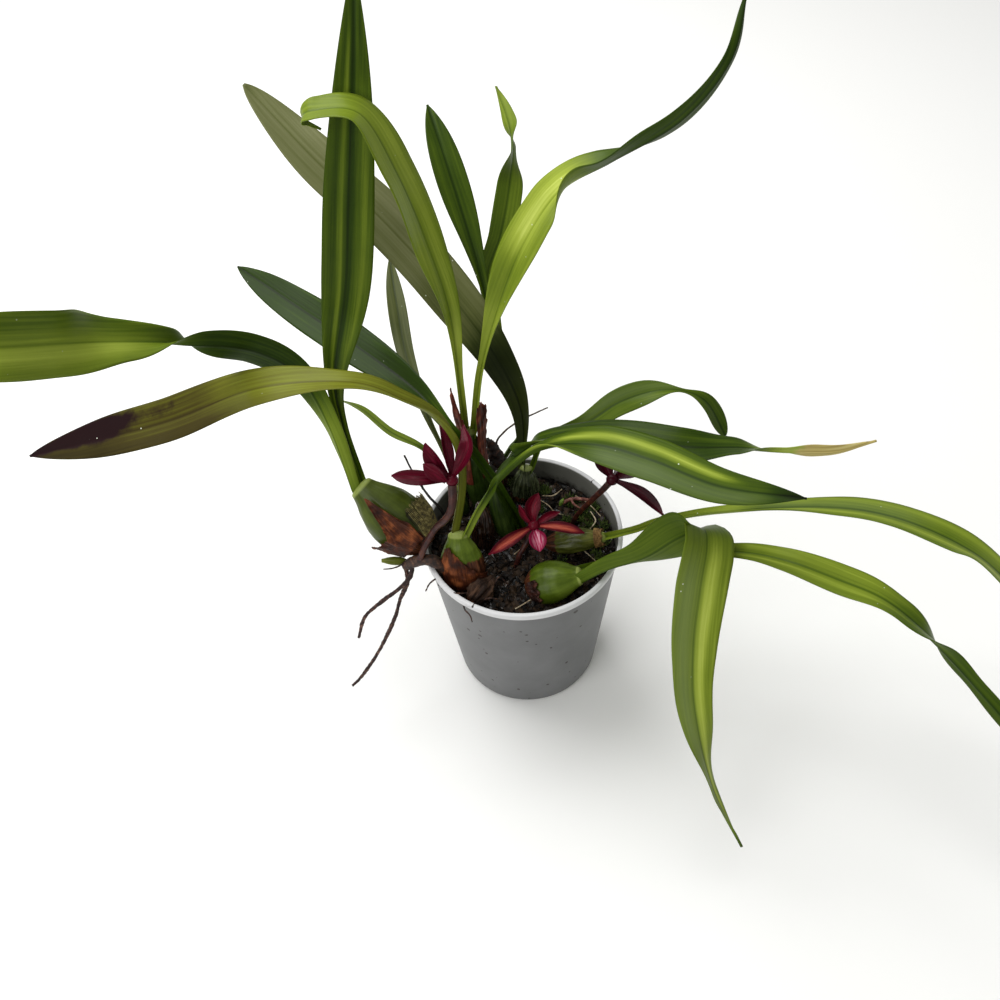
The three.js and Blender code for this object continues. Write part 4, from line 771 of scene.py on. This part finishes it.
        facing=[[0, -0.3, 0.9, 0.1], [0.1, -0.2, 0.9, 0], [0.22, 0, 0.8, -0.4], [0.3, 0.5, 0.2, 0.8],
                [0.4, 0.1, -0.9, 0.4], [0.62, 0.1, -0.9, 0.2], [0.85, 0.8, -0.3, 0.1], [1, 0.8, 0.2, 0.1]],
        tone_and_painted_light=[(0, 3, 0, 0.25, 0.08), (0, 3, 0.3, 1, 0.16), (-0.35, 0.24, 0.32, 0.92, 0.32),
              (-0.9, 0.14, 0.3, 0.9, 0.1)],
        painted_sheen=[(0.5, 0.45, 0.36, 0.75, 0.32)]),
}


def ease(x):
    t = np.clip(x, 0, 1)
    return t * t * (3 - 2 * t)


def facing_at(keys, s):
    """The directions that a blade's upper face looks in, eased from key to key"""
    keys = np.array(keys, float)
    ways = keys[:, 1:] / np.linalg.norm(keys[:, 1:], axis=1)[:, None]
    i = np.clip(np.searchsorted(keys[:, 0], s, side="right") - 1, 0, len(keys) - 2)
    share = ease((s - keys[i, 0]) / (keys[i + 1, 0] - keys[i, 0]))[:, None]
    return ways[i] + (ways[i + 1] - ways[i]) * share


def blade_width(blade, s):
    """A blade's width along its length: stalk, opening, widest place and taper, less a pinch at the waist"""
    place, narrowing, span = blade.get("waist", (0, 0, 1))
    pinch = 1 - narrowing * np.exp(-((s - place) / span) ** 2)
    opened = ease((s - blade["stem"]) / (blade["widest"] - blade["stem"]))
    young = blade["stalk"] + (blade["wide"] - blade["stalk"]) * opened
    past = np.clip((s - blade["widest"]) / (1 - blade["widest"]), 0, 1)
    bend, taper = blade.get("fall", BLADE_FALL)
    return np.where(s < blade["widest"], young * pinch,
                    np.maximum(BLADE_LEAST, pinch * blade["wide"] * (1 - past ** bend) ** taper))


def soft_bands(bands, x, s):
    """Sums soft lengthwise bands, each with a middle, a half width, a start, an end and a strength"""
    total = np.zeros(np.broadcast(x, s).shape)
    for middle, width, start, end, strength in bands:
        total = total + (strength * np.exp(-((x - middle) / width) ** 2)
                         * ease((s - start + 0.05) / 0.1) * ease((end + 0.05 - s) / 0.1))
    return total


# The fold along the middle is rounded, the sunk midrib is narrow, and the margins wave along the blade
SOFT, RIB_WIDTH, WAVE = 0.16, 1.1, 9


def strap(blade, stations, across, depth_at_foot, furrow, ripple):
    """Rings round a blade: the lower face from one margin to the other, then the upper face back"""
    s = np.linspace(0, 1, stations)
    place, travel, length = route(blade["spine"], stations)
    face = facing_at(blade["facing"], s)
    face -= travel * (face * travel).sum(1)[:, None]
    face /= np.linalg.norm(face, axis=1)[:, None]
    side = np.cross(travel, face)
    half = blade_width(blade, s)[:, None] / 2
    opened = ease((s - blade["stem"]) / OPENING)[:, None]
    spot, deeper, span = blade.get("crimp", (0, 0, 1))
    crimp = deeper * np.exp(-((s - spot) / span) ** 2)[:, None]
    fold = np.radians(STALK_FOLD + (blade.get("cup", BLADE_FOLD) - STALK_FOLD) * opened + crimp)
    x = np.linspace(-1, 1, across)[None, :]
    crease = (np.sqrt(x ** 2 + SOFT ** 2) - SOFT) / (math.sqrt(1 + SOFT ** 2) - SOFT)
    rise = half * np.sin(fold) * crease
    near_rib = np.exp(-(x * half / RIB_WIDTH) ** 2)
    waves = ripple * opened * x ** 2 * np.sin(s[:, None] * length / WAVE + 2 * np.sign(x))
    top = rise - furrow * opened * near_rib + waves
    deep = depth_at_foot + (BLADE - depth_at_foot) * opened
    thick = deep * (1 - 0.5 * np.abs(x) ** 4) + furrow * opened * near_rib
    under = top - thick
    out = x * half * np.cos(fold)
    heights = np.concatenate([under[:, ::-1], top], 1)
    reaches = np.concatenate([out[:, ::-1], out], 1)
    places = (place[:, None, :] + reaches[..., None] * side[:, None, :] + heights[..., None] * face[:, None, :])
    share = np.concatenate([np.broadcast_to(x, out.shape)[:, ::-1], np.broadcast_to(x, out.shape)], 1)
    lower = np.concatenate([np.ones(out.shape), np.zeros(out.shape)], 1)
    return places, share, np.broadcast_to(s[:, None], share.shape), share * half, lower, length


def leaf_skin(name, stops):
    """Leathery living leaf: pale and dark tissue with painted light and shade, set by its bands, a painted sheen, fine
    veins, painted shade in the sunk midrib and dust specks
    """
    material, tree, shader = material_of(name, {"IOR": 1.42, "Specular IOR Level": 0.12, "Coat Weight": 0.03,
                                                "Coat Roughness": 0.3})
    spot = add(tree, "ShaderNodeTexCoord").outputs["Object"]
    across, along, tone_and_painted_light, under, painted_sheen, burnt, dry = (
        add(tree, "ShaderNodeAttribute", attribute_name=field).outputs["Fac"]
        for field in ("across_mm", "along_mm", "tone_and_painted_light", "lower", "painted_sheen", "burnt", "dry"))
    stretched = add(tree, "ShaderNodeMath", {0: along, 1: 0.018}, operation="MULTIPLY")
    flow = add(tree, "ShaderNodeCombineXYZ", {0: across, 1: stretched})
    # Veins stand about 0.5 mm apart, drawn at 1.3 mm so that they show
    veins = add(tree, "ShaderNodeTexNoise", {"Vector": flow, "Scale": 1 / 1.3, "Detail": 3, "Roughness": 0.6})
    patches = add(tree, "ShaderNodeTexNoise", {"Vector": spot, "Scale": 1 / 0.022, "Detail": 3})
    # Painted light and shade: the tone bands add pale where light shines through or falls on the blade, and dark where
    # it lies in shade
    veined = add(tree, "ShaderNodeMath", {0: veins, 1: 0.3, 2: tone_and_painted_light}, operation="MULTIPLY_ADD")
    patched = add(tree, "ShaderNodeMath", {0: patches, 1: 0.1, 2: veined}, operation="MULTIPLY_ADD")
    evened = add(tree, "ShaderNodeMath", {0: patched, 1: 0.2}, operation="SUBTRACT")
    off_rib = add(tree, "ShaderNodeMath", {0: across}, operation="ABSOLUTE")
    # Painted shade: a thin dark line along the middle, where the sunk midrib lies in shadow
    midrib_shade = add(tree, "ShaderNodeMapRange", {0: off_rib, 1: 0.9, 2: 0.2, 3: 0.0, 4: 0.14})
    midrib_shaded = add(tree, "ShaderNodeMath", {0: evened, 1: midrib_shade}, operation="SUBTRACT")
    green = add(tree, "ShaderNodeValToRGB", {0: midrib_shaded}, stops=stops)
    dull = add(tree, "ShaderNodeMix", {0: under, 6: (1, 1, 1, 1), 7: (0.82, 0.86, 0.8, 1)}, data_type="RGBA")
    toned = add(tree, "ShaderNodeMix", {0: 1.0, 6: green, 7: dull.outputs[2]}, data_type="RGBA",
                blend_type="MULTIPLY")
    # Painted sheen: a pale grey-green mixed in where the blade's satin face catches the light
    sheened = add(tree, "ShaderNodeMix", {0: painted_sheen, 6: toned.outputs[2], 7: linear("#8b9a6c")}, data_type="RGBA")
    torn_edge = add(tree, "ShaderNodeTexNoise", {"Vector": spot, "Scale": 1 / 0.008, "Detail": 5, "Roughness": 0.6})
    ragged = add(tree, "ShaderNodeMath", {0: torn_edge, 1: 0.9, 2: -0.45}, operation="MULTIPLY_ADD")
    burn_edge = add(tree, "ShaderNodeMath", {0: burnt, 1: ragged}, operation="ADD")
    burn = add(tree, "ShaderNodeMapRange", {0: burn_edge, 1: 0.3, 2: 0.62})
    scorched = add(tree, "ShaderNodeMix", {0: burn, 6: sheened.outputs[2], 7: linear("#1f0d0f")}, data_type="RGBA")
    dry_edge = add(tree, "ShaderNodeMath", {0: dry, 1: ragged}, operation="ADD")
    parched = add(tree, "ShaderNodeMapRange", {0: dry_edge, 1: 0.35, 2: 0.6})
    straw = add(tree, "ShaderNodeValToRGB", {0: veins}, stops=[(0.3, "#8f7a45"), (0.55, "#c2b26c"), (0.8, "#d9cf96")])
    dried = add(tree, "ShaderNodeMix", {0: parched, 6: scorched.outputs[2], 7: straw}, data_type="RGBA")
    # Dust and dried drops: pale dots under half a millimetre across
    dots = add(tree, "ShaderNodeTexVoronoi", {"Vector": spot, "Scale": 1 / 0.006})
    dot_near = add(tree, "ShaderNodeMapRange", {0: dots, 1: 0.075, 2: 0.045})
    dot_some = add(tree, "ShaderNodeTexNoise", {"Vector": spot, "Scale": 1 / 0.018})
    dot_pick = add(tree, "ShaderNodeMapRange", {0: dot_some, 1: 0.6, 2: 0.66})
    dusty = add(tree, "ShaderNodeMath", {0: dot_near, 1: dot_pick}, operation="MULTIPLY")
    specked = add(tree, "ShaderNodeMix", {0: dusty, 6: dried.outputs[2], 7: linear("#d8decb")}, data_type="RGBA")
    duller = add(tree, "ShaderNodeMath", {0: under, 1: 0.14, 2: 0.3}, operation="MULTIPLY_ADD")
    satin = add(tree, "ShaderNodeMath", {0: patches, 1: 0.16, 2: duller}, operation="MULTIPLY_ADD")
    relief = add(tree, "ShaderNodeBump", {"Height": veins, "Strength": 0.3, "Distance": 0.0004})
    feed(tree, shader, {"Base Color": specked.outputs[2], "Roughness": satin, "Normal": relief})
    return material


LEAF_SKINS = {
    "green": leaf_skin("green_leaf", [(0, "#101a02"), (0.25, "#283c07"), (0.45, "#4b5f11"), (0.65, "#748525"),
                                      (0.85, "#9cab40"), (1, "#c4d068")]),
    "olive": leaf_skin("ageing_olive_leaf", [(0, "#1d1507"), (0.25, "#3d3610"), (0.5, "#66681c"), (0.75, "#919c34"),
                                             (1, "#b5c456")]),
    "grey": leaf_skin("grey_green_leaf", [(0, "#182007"), (0.25, "#333c14"), (0.5, "#5e6338"), (0.75, "#7c7e58"),
                                          (1, "#9c9d78")]),
}
LEAF_STATIONS, LEAF_ACROSS, LEAF_FURROW, LEAF_RIPPLE, GREEN = 170, 17, 0.35, 0.35, 0.42
FOOT_SUNK, FOOT_SHARE = 5, 0.7
for name, leaf in LEAVES.items():
    rings, x, s, across_mm, lower, length = strap(
        leaf, LEAF_STATIONS, LEAF_ACROSS, STALK_DEPTH, LEAF_FURROW, LEAF_RIPPLE)
    fields = {field: soft_bands(leaf.get(field, ()), x, s) for field in ("tone_and_painted_light", "burnt", "dry", "painted_sheen")}
    fields |= {"across_mm": across_mm, "along_mm": s * length, "lower": lower, "tone_and_painted_light": GREEN + fields["tone_and_painted_light"]}
    # The stalk runs on, a little thinner, into the bulb or the bark that it grows from
    centre = rings[0].mean(0)
    down = centre - rings[1].mean(0)
    sunk = centre + (rings[0] - centre) * FOOT_SHARE + down / np.linalg.norm(down) * FOOT_SUNK
    rings = np.concatenate([sunk[None], rings])
    fields = {field: np.concatenate([values[:1], values]) for field, values in fields.items()}
    piece(name + "_blade", [skin(rings, **fields)], LEAF_SKINS[leaf.get("skin", "green")], "leaf", name)

# Sheaths: dead leaf bases and bracts, thin and papery, that wrapped each growth and now split and curl off it.
# They are chestnut brown with pale fibres, and their upper edges run to a point or tear.
# Turns are degrees round the bulb from its flat face. The lower and upper edges are shares of the bulb's height,
# and lift and flare are how far a sheath stands off the skin, below and at its upper edge.
SHEATH, SHEATH_ACROSS, SHEATH_UP, RAGGED, CRUMPLE = 0.8, 57, 33, 0.03, 1.1


def spike(low, high, place, narrow, slope):
    """An upper edge that runs up to one point"""
    return lambda u: low + slope * u + (high - low) * np.exp(-((u - place) / narrow) ** 2)


def torn(level, teeth, deep):
    """An upper edge torn into teeth"""
    return lambda u: level + deep * np.abs(np.sin(u * math.pi * teeth))


SHEATHS = {
    "sheath_papery": dict(bulb="pseudobulb_01", turns=[-80, 20], low=0.1, top=spike(0.44, 0.98, 0.78, 0.13, -0.12),
                          lift=0.5, flare=3.2, least=0, paper="chestnut"),
    "sheath_net": dict(bulb="pseudobulb_01", turns=[26, 105], low=0.1, top=torn(0.42, 4, 0.06), lift=0.5, flare=0.4,
                       least=0, paper="net"),
    "bract_front": dict(bulb="pseudobulb_02", turns=[-48, 78], low=0.16, top=spike(0.38, 0.85, 0.12, 0.45, 0), lift=0.5,
                        flare=0.8, least=0, paper="chestnut"),
    "sheath_tall_left": dict(bulb="pseudobulb_06", turns=[-130, -25], low=0.45, top=spike(1, 1.5, 0.5, 0.42, 0),
                             lift=0.5, flare=0.5, least=6, paper="umber"),
    "sheath_tall_right": dict(bulb="pseudobulb_06", turns=[20, 125], low=0.5, top=spike(0.97, 1.36, 0.2, 0.4, 0),
                              lift=0.5, flare=5, least=6, paper="umber"),
    "collar_right": dict(bulb="pseudobulb_08", turns=[-150, 150], low=0.86, top=torn(0.98, 5, 0.02), lift=0.6,
                         flare=0.6, least=0, paper="straw"),
    "bract_right": dict(bulb="pseudobulb_09", turns=[0, 70], low=0.06, top=torn(0.26, 3, 0.05), lift=0.6, flare=0.3,
                        least=0, paper="dark"),
}


def papery(name, dark, mid, light, gloss):
    """Dead sheath tissue: brittle, fibrous lengthwise, blotched, with a faint gloss"""
    material, tree, shader = material_of(name, {"IOR": 1.45, "Specular IOR Level": 0.2})
    spot = add(tree, "ShaderNodeTexCoord").outputs["Object"]
    across, along = (add(tree, "ShaderNodeAttribute", attribute_name=field).outputs["Fac"]
                     for field in ("across_mm", "along_mm"))
    stretched = add(tree, "ShaderNodeMath", {0: along, 1: 0.06}, operation="MULTIPLY")
    flow = add(tree, "ShaderNodeCombineXYZ", {0: across, 1: stretched})
    fibres = add(tree, "ShaderNodeTexNoise", {"Vector": flow, "Scale": 1 / 0.7, "Detail": 4, "Roughness": 0.65})
    blotch = add(tree, "ShaderNodeTexNoise", {"Vector": spot, "Scale": 1 / 0.007, "Detail": 4})
    both = add(tree, "ShaderNodeMath", {0: fibres, 1: 0.5, 2: blotch}, operation="MULTIPLY_ADD")
    colour = add(tree, "ShaderNodeValToRGB", {0: both}, stops=[(0.52, dark), (0.76, mid), (1.0, light)])
    satin = add(tree, "ShaderNodeMapRange", {0: blotch, 1: 0.3, 2: 0.7, 3: gloss - 0.08, 4: gloss + 0.1})
    relief = add(tree, "ShaderNodeBump", {"Height": fibres, "Strength": 0.6, "Distance": 0.0005})
    feed(tree, shader, {"Base Color": colour, "Roughness": satin, "Normal": relief})
    return material


PAPERS = {
    "chestnut": papery("chestnut_sheath", "#1b0a06", "#46200f", "#93522c", 0.45),
    "umber": papery("umber_sheath", "#200b08", "#602819", "#995238", 0.5),
    "dark": papery("dark_bract", "#0d0605", "#2c1510", "#553024", 0.45),
    "net": papery("netted_sheath", "#14140a", "#2f3014", "#6b683a", 0.6),
    "straw": papery("straw_collar", "#3d2c16", "#7b5e36", "#b0935b", 0.6),
}
for name, sheath in SHEATHS.items():
    bulb = BULBS[sheath["bulb"]]
    u, w = np.meshgrid(np.linspace(0, 1, SHEATH_ACROSS), np.linspace(0, 1, SHEATH_UP), indexing="ij")
    first, last = sheath["turns"]
    turn = np.radians(first + (last - first) * u)
    # The length of its name picks each sheath's own stretch of noise
    ragged = np.array([noise.noise(Vector((k * 0.45, len(name), 0))) for k in range(SHEATH_ACROSS)])[:, None] * RAGGED
    v = sheath["low"] + (sheath["top"](u) + ragged - sheath["low"]) * w
    crumple = np.array([[noise.fractal(Vector((a * 6, b * 3, len(name))), 0.8, 2.0, 3) for a, b in zip(*row)]
                        for row in zip(u, w)]) * CRUMPLE
    out = sheath["lift"] + sheath["flare"] * w ** 2 + crumple * (0.2 + w)
    outer = on_bulb(bulb, v, turn, out + SHEATH * (1 - 0.5 * w), sheath["least"])
    inner = on_bulb(bulb, v, turn, out, sheath["least"])
    rings = np.concatenate([outer[:, ::-1], inner], 1)
    width = np.radians(abs(last - first)) * bulb["wide"] / 2
    length = np.linalg.norm(np.array(bulb["crown"]) - bulb["foot"])
    fields = {"across_mm": np.concatenate([u[:, ::-1], u], 1) * width,
              "along_mm": np.concatenate([v[:, ::-1], v], 1) * length}
    piece(name + "_paper", [skin(rings, **fields)], PAPERS[sheath["paper"]], "sheath", name)

# Net fibres: the veins of an old leaf base, left as a loose net of stiff fibres round the first bulb's side when
# the tissue between them rotted away. Each one slants a little and curls out at its end.
FIBRES, FIBRE_SLANT, FIBRE_PROUD, FIBRE_CURL, FIBRE_END, END_SPREAD = 30, 0.05, 1.3, 0.9, 0.46, 0.08
net = SHEATHS["sheath_net"]
net_runs = []
for i in range(FIBRES):
    along = np.linspace(0, 1, 12)
    u = (i + 0.5) / FIBRES + FIBRE_SLANT * along
    fibre_turn = np.radians(net["turns"][0] + (net["turns"][1] - net["turns"][0]) * np.clip(u, 0, 1))
    end = FIBRE_END + END_SPREAD * noise.noise(Vector((i * 0.9, 3, 0)))
    fibre_height = net["low"] + (end - net["low"]) * along
    lifted = net["lift"] + SHEATH + FIBRE_PROUD + FIBRE_CURL * along ** 3
    net_runs.append((on_bulb(BULBS[net["bulb"]], fibre_height, fibre_turn, lifted).tolist(), [0.32, 0.26, 0.2], 26))
fibre_skin = woody("pale_vein_fibre", "#2b2411", "#6f6436", "#b3a76a", 2, 0.6)
stem("sheath_net_fibres", net_runs, fibre_skin, "sheath", lumps=0.1, size=2, sides=6)

# Dead leaf base: a black crumbling stub that a fallen leaf left. It stands between the tall sheath and the small
# bulb behind it.
crust = woody("crumbling_leaf_base", "#070404", "#22120d", "#5b3a2a", 2.2, 0.75)
stem("dead_leaf_base", [([[-8, 46.5, 136], [-12, 47.5, 143], [-14.5, 50, 151], [-17, 51, 158]], [4, 5, 4, 1.2], 40)],
     crust, "sheath", lumps=5, size=3, sides=26)

# Dead rootlets: fine wiry ends of old roots, dry and dark. They stray over the bulbs' feet, the sheaths and the
# pot's rim.
ROOTLETS = [[[-50, -33, 124], [-46, -38, 127], [-41, -41, 129], [-35, -40, 127]],
            [[-26, -42, 121], [-22, -44, 126], [-16, -43, 121]], [[-52, -28, 128], [-57, -30, 125], [-60, -31, 119]],
            [[-38, -43, 121], [-37, -50, 125], [-34, -57, 129.5], [-33, -60, 127]],
            [[-20, -33, 120], [-16, -30, 126], [-11, -31, 119]], [[-72, -18, 130], [-78, -19, 128], [-84, -20, 129]]]
stem("dead_rootlets", [(spine, [0.55, 0.5, 0.35], 30) for spine in ROOTLETS],
     woody("dead_rootlet", "#100806", "#2e1a13", "#6e4c38", 2, 0.7), "root", lumps=0.6, size=2, sides=6)

# Flowers: fleshy pointed tepals round a small column and lip, on a short stalk. They are waxy and dark crimson,
# the open one orange-red inside with a pink lip streaked white.
# A tepal or lip has the points of its spine, its greatest width and the way that its upper face looks. Its foot's
# width, its widest place and its cup in degrees are the same in every flower.
CORE_RADIUS, CORE_RINGS, AROUND_CORE = 3.6, 18, 28
PETAL_DEPTH, PETAL_STATIONS, PETAL_ACROSS, PETAL_FURROW, PETAL_RIPPLE = 1.2, 40, 15, 0.15, 0.25
TEPAL = dict(stalk=3.4, widest=0.55, cup=36)
LIP = dict(stalk=4, widest=0.5, cup=30)
FLOWERS = {
    "flower_1": dict(
        centre=[-38, -1, 183],
        tepals=[[[-56, 0, 187], [-72, 5, 184], 11, [0, -0.8, 0.6]],
                [[-45, 4, 195], [-51, 10, 203], 14, [-0.5, -0.6, 0.4]],
                [[-40, 9, 199], [-42, 20, 206], 9, [0.6, -0.6, 0.4]],
                [[-27, 5, 203], [-29, 18, 207], 11, [-0.5, -0.7, 0.4]]],
        lip=[[-41, -3.5, 185.5], [-47, -1, 191], [-53, 3, 194], 10, [-0.3, -0.6, 0.6]],
        stalk=[[-61.5, -20.5, 137.5], [-56, -17, 148], [-50, -13, 156], [-43, -13, 164], [-39, -10, 172],
               [-38, -3, 181]],
        radius=[1.9, 2.6], petal="crimson", tongue="crimson", warm=()),
    "flower_2": dict(
        centre=[7, -4, 139],
        tepals=[[[6, 4, 146], [11, 10, 152], 12, [0.2, -0.7, 0.6]],
                [[-6, -12, 139], [-21, -21, 137], 9, [0.1, -0.5, 0.8]],
                [[22, -9, 142], [36, -13, 140], 8, [0, -0.4, 0.9]],
                [[15, -1, 143], [23, 1, 144], 6, [0.1, -0.6, 0.7]],
                [[2, 1, 144], [-1, 5, 148], 6, [-0.3, -0.7, 0.6]]],
        lip=[[7.2, -8.2, 139.5], [8, -14, 140], [9, -21, 136], 12, [0, -0.4, 0.9]],
        stalk=[[-6, -14, 110], [-3, -13, 122], [2, -9, 130], [6, -5, 137]],
        radius=[1.6, 1.8], petal="flame", tongue="pink", warm=(1, 2)),
    "flower_3": dict(
        centre=[54, 7, 163],
        tepals=[[[50, 14, 169], [47, 22, 174], 13, [0, -0.6, 0.8]],
                [[64, 10, 167], [75, 13, 171], 13, [0.1, -0.6, 0.8]],
                [[68, -6, 163], [80, -18, 158], 10, [0.4, -0.3, 0.8]]],
        lip=[[55.6, 10.8, 162], [58, 15, 159], [60, 20, 155], 8, [0.4, -0.2, 0.8]],
        stalk=[[30, 13, 110], [35, 12, 126], [43, 9, 143], [50, 7, 156], [53.5, 7, 162]],
        radius=[1.5, 2.1], petal="maroon", tongue="maroon", warm=()),
}


def petal_skin(name, margin, middle, tip, streak, warm):
    """Waxy petal: a darker margin, a paler middle and tip, fine lengthwise streaks, and warm colour where given"""
    material, tree, shader = material_of(name, {"IOR": 1.42, "Roughness": 0.34, "Specular IOR Level": 0.14,
                                                "Coat Weight": 0.03, "Coat Roughness": 0.3})
    spot = add(tree, "ShaderNodeTexCoord").outputs["Object"]
    across, along, edge, end, warmth = (add(tree, "ShaderNodeAttribute", attribute_name=field).outputs["Fac"]
                                        for field in ("across_mm", "along_mm", "edge", "end", "warmth"))
    stretched = add(tree, "ShaderNodeMath", {0: along, 1: 0.1}, operation="MULTIPLY")
    flow = add(tree, "ShaderNodeCombineXYZ", {0: across, 1: stretched})
    lines = add(tree, "ShaderNodeTexNoise", {"Vector": flow, "Scale": 1 / 0.9, "Detail": 3})
    blotch = add(tree, "ShaderNodeTexNoise", {"Vector": spot, "Scale": 1 / 0.005, "Detail": 3})
    ragged = add(tree, "ShaderNodeMath", {0: blotch, 1: 0.5, 2: edge}, operation="MULTIPLY_ADD")
    rimmed = add(tree, "ShaderNodeMapRange", {0: ragged, 1: 0.6, 2: 1.0})
    lined = add(tree, "ShaderNodeMapRange", {0: lines, 1: 0.45, 2: 0.7})
    heated = add(tree, "ShaderNodeMix", {0: warmth, 6: linear(middle), 7: linear(warm)}, data_type="RGBA")
    inner = add(tree, "ShaderNodeMix", {0: lined, 6: heated.outputs[2], 7: linear(streak)}, data_type="RGBA")
    body = add(tree, "ShaderNodeMix", {0: rimmed, 6: inner.outputs[2], 7: linear(margin)}, data_type="RGBA")
    tipped = add(tree, "ShaderNodeMapRange", {0: end, 1: 0.75, 2: 1.0, 3: 0.0, 4: 0.7})
    colour = add(tree, "ShaderNodeMix", {0: tipped, 6: body.outputs[2], 7: linear(tip)}, data_type="RGBA")
    relief = add(tree, "ShaderNodeBump", {"Height": lines, "Strength": 0.35, "Distance": 0.0004})
    feed(tree, shader, {"Base Color": colour.outputs[2], "Normal": relief})
    return material


PETALS = {
    "crimson": petal_skin("crimson_petal", "#4a0618", "#500719", "#640f27", "#75152f", "#500719"),
    "maroon": petal_skin("maroon_petal", "#2e0610", "#340812", "#601629", "#4b0e1d", "#340812"),
    "flame": petal_skin("orange_red_petal", "#480514", "#630a1e", "#640d22", "#84182c", "#c0604a"),
    "pink": petal_skin("streaked_pink_lip", "#7c0c34", "#a81f4e", "#8e1840", "#f0c2d0", "#a81f4e"),
}


def petal(spine, wide, faces, warmth, stalk, widest, cup):
    """The skin of a petal, which is a short strap cupped from side to side"""
    blade = dict(spine=spine, wide=wide, stalk=stalk, stem=0, widest=widest, facing=[[0, *faces], [1, *faces]], cup=cup)
    rings, x, s, across_mm, _, length = strap(
        blade, PETAL_STATIONS, PETAL_ACROSS, PETAL_DEPTH, PETAL_FURROW, PETAL_RIPPLE)
    heat = warmth * np.exp(-(x / 0.55) ** 2) * ease(s / 0.25) * ease((0.95 - s) / 0.2)
    return skin(rings, across_mm=across_mm, along_mm=s * length, edge=np.abs(x), end=s, warmth=heat)


def core(centre):
    """The skin of the small round column that a flower's petals stand on"""
    rise = np.linspace(-math.pi / 2, math.pi / 2, CORE_RINGS)[1:-1]
    profile = [(CORE_RADIUS * math.cos(a), CORE_RADIUS * math.sin(a)) for a in rise]
    rings = np.array(turned(profile, AROUND_CORE)) + centre
    flat = np.zeros(rings.shape[:2])
    return skin(rings, across_mm=flat, along_mm=flat, edge=flat + 0.5, end=flat, warmth=flat)


for name, flower in FLOWERS.items():
    parts = [core(flower["centre"])]
    parts += [petal([flower["centre"], middle, tip], wide, faces, float(i in flower["warm"]), **TEPAL)
              for i, (middle, tip, wide, faces) in enumerate(flower["tepals"])]
    piece(name + "_petals", parts, PETALS[flower["petal"]], "tepal", name + "_tepals")
    *spine, wide, faces = flower["lip"]
    piece(name + "_tongue", [petal(spine, wide, faces, 0.0, **LIP)], PETALS[flower["tongue"]], "lip", name + "_lip")
    low, high = flower["radius"]
    stalk_skin = woody(name + "_stalk_skin", "#210908", "#3c1710", "#65341b", 5, 0.45)
    stem(name + "_stem", [(flower["stalk"], [low, low, (low + high) / 2, high], 48)], stalk_skin, "stalk",
         name + "_stalk", lumps=0.5, size=5)

# Roots: two thin dead roots that hang outside the pot, dark and wiry with bits of the pale spongy outer layer
# still on them.
ROOTS = {
    "root_1": [[-66, -19, 132], [-69, -24, 124], [-77, -28, 118], [-86, -32, 114], [-98, -37, 105.5],
               [-104, -42, 91]],
    "root_2": [[-71, -18, 129], [-71, -22.5, 118], [-77, -27, 106], [-82, -34, 95], [-93.5, -44, 77],
               [-106, -52, 62], [-113, -56, 57]],
}
wiry = woody("wiry_dead_root", "#170a0a", "#2e1513", "#8f6a58", 2.2, 0.7)
for name, spine in ROOTS.items():
    stem(name + "_fibre", [(spine, [1.3, 1.5, 1.1, 1.4, 1.0, 1.2, 0.8], 110)], wiry, "root", name, lumps=1.1,
         size=2.4, sides=10)

# New shoot: a growth tip at the end of the rhizome, closed in young olive scales. It points away from the pot,
# level with the rim.
SHOOT_LENGTH, SHOOT_WIDE = 15, 6
SHOOT = dict(foot=[-70, -15, 128.5], crown=[-85, -14, 129.5], wide=SHOOT_WIDE, thick=5, faces=[0, -1, 0])
AROUND_SHOOT, ALONG_SHOOT = 40, 30
v, turn = np.meshgrid(np.linspace(0, 1, ALONG_SHOOT), np.linspace(0, 2 * math.pi, AROUND_SHOOT, endpoint=False),
                      indexing="ij")
fields = {"height": v * 0.9 + 0.05, "along_mm": v * SHOOT_LENGTH, "round_mm": np.sin(turn) * SHOOT_WIDE / 2,
          "husk": v * 0}
piece("new_shoot_scales", [skin(on_bulb(SHOOT, v, turn), **fields)], BULB_SKINS["young"], "bulb", "new_shoot")

# Dead stems: old woody stems, left standing in the bark. One is a thin dry flower stalk that bends over at the
# back, and the other is black and wiry with a side branch, and leans out over the rim at the back left.
DRY_STALK = [[-12, 51, 108], [-12, 55, 145], [-7, 53, 160], [3, 59, 163], [12, 63, 164], [22, 67, 165]]
BLACK_STEM = [[-46, 20, 108], [-47, 21, 121], [-50, 23, 130], [-55, 27, 135], [-61, 37, 137], [-66, 46, 142],
              [-69, 50, 150]]
BLACK_BRANCH = [[-59, 33, 136.5], [-60, 34, 141], [-61, 35, 146]]
grey_brown = woody("dry_stalk_skin", "#2c221d", "#54453b", "#7d6c5e", 2, 0.7)
blackened = woody("blackened_stem_skin", "#0c0909", "#1c1513", "#3a2b26", 2, 0.6)
stem("dry_stalk_stem", [(DRY_STALK, [0.8, 0.7, 0.8, 0.6, 0.5, 0.45], 70)], grey_brown, "stalk", "dry_stalk",
     lumps=0.5, size=2, sides=10)
stem("black_stem_wire", [(BLACK_STEM, [0.9, 0.8, 0.9, 0.7, 0.6, 0.6], 80), (BLACK_BRANCH, [0.8, 0.7, 0.9], 20)],
     blackened, "root", "black_stem", lumps=0.5, size=2, sides=10)
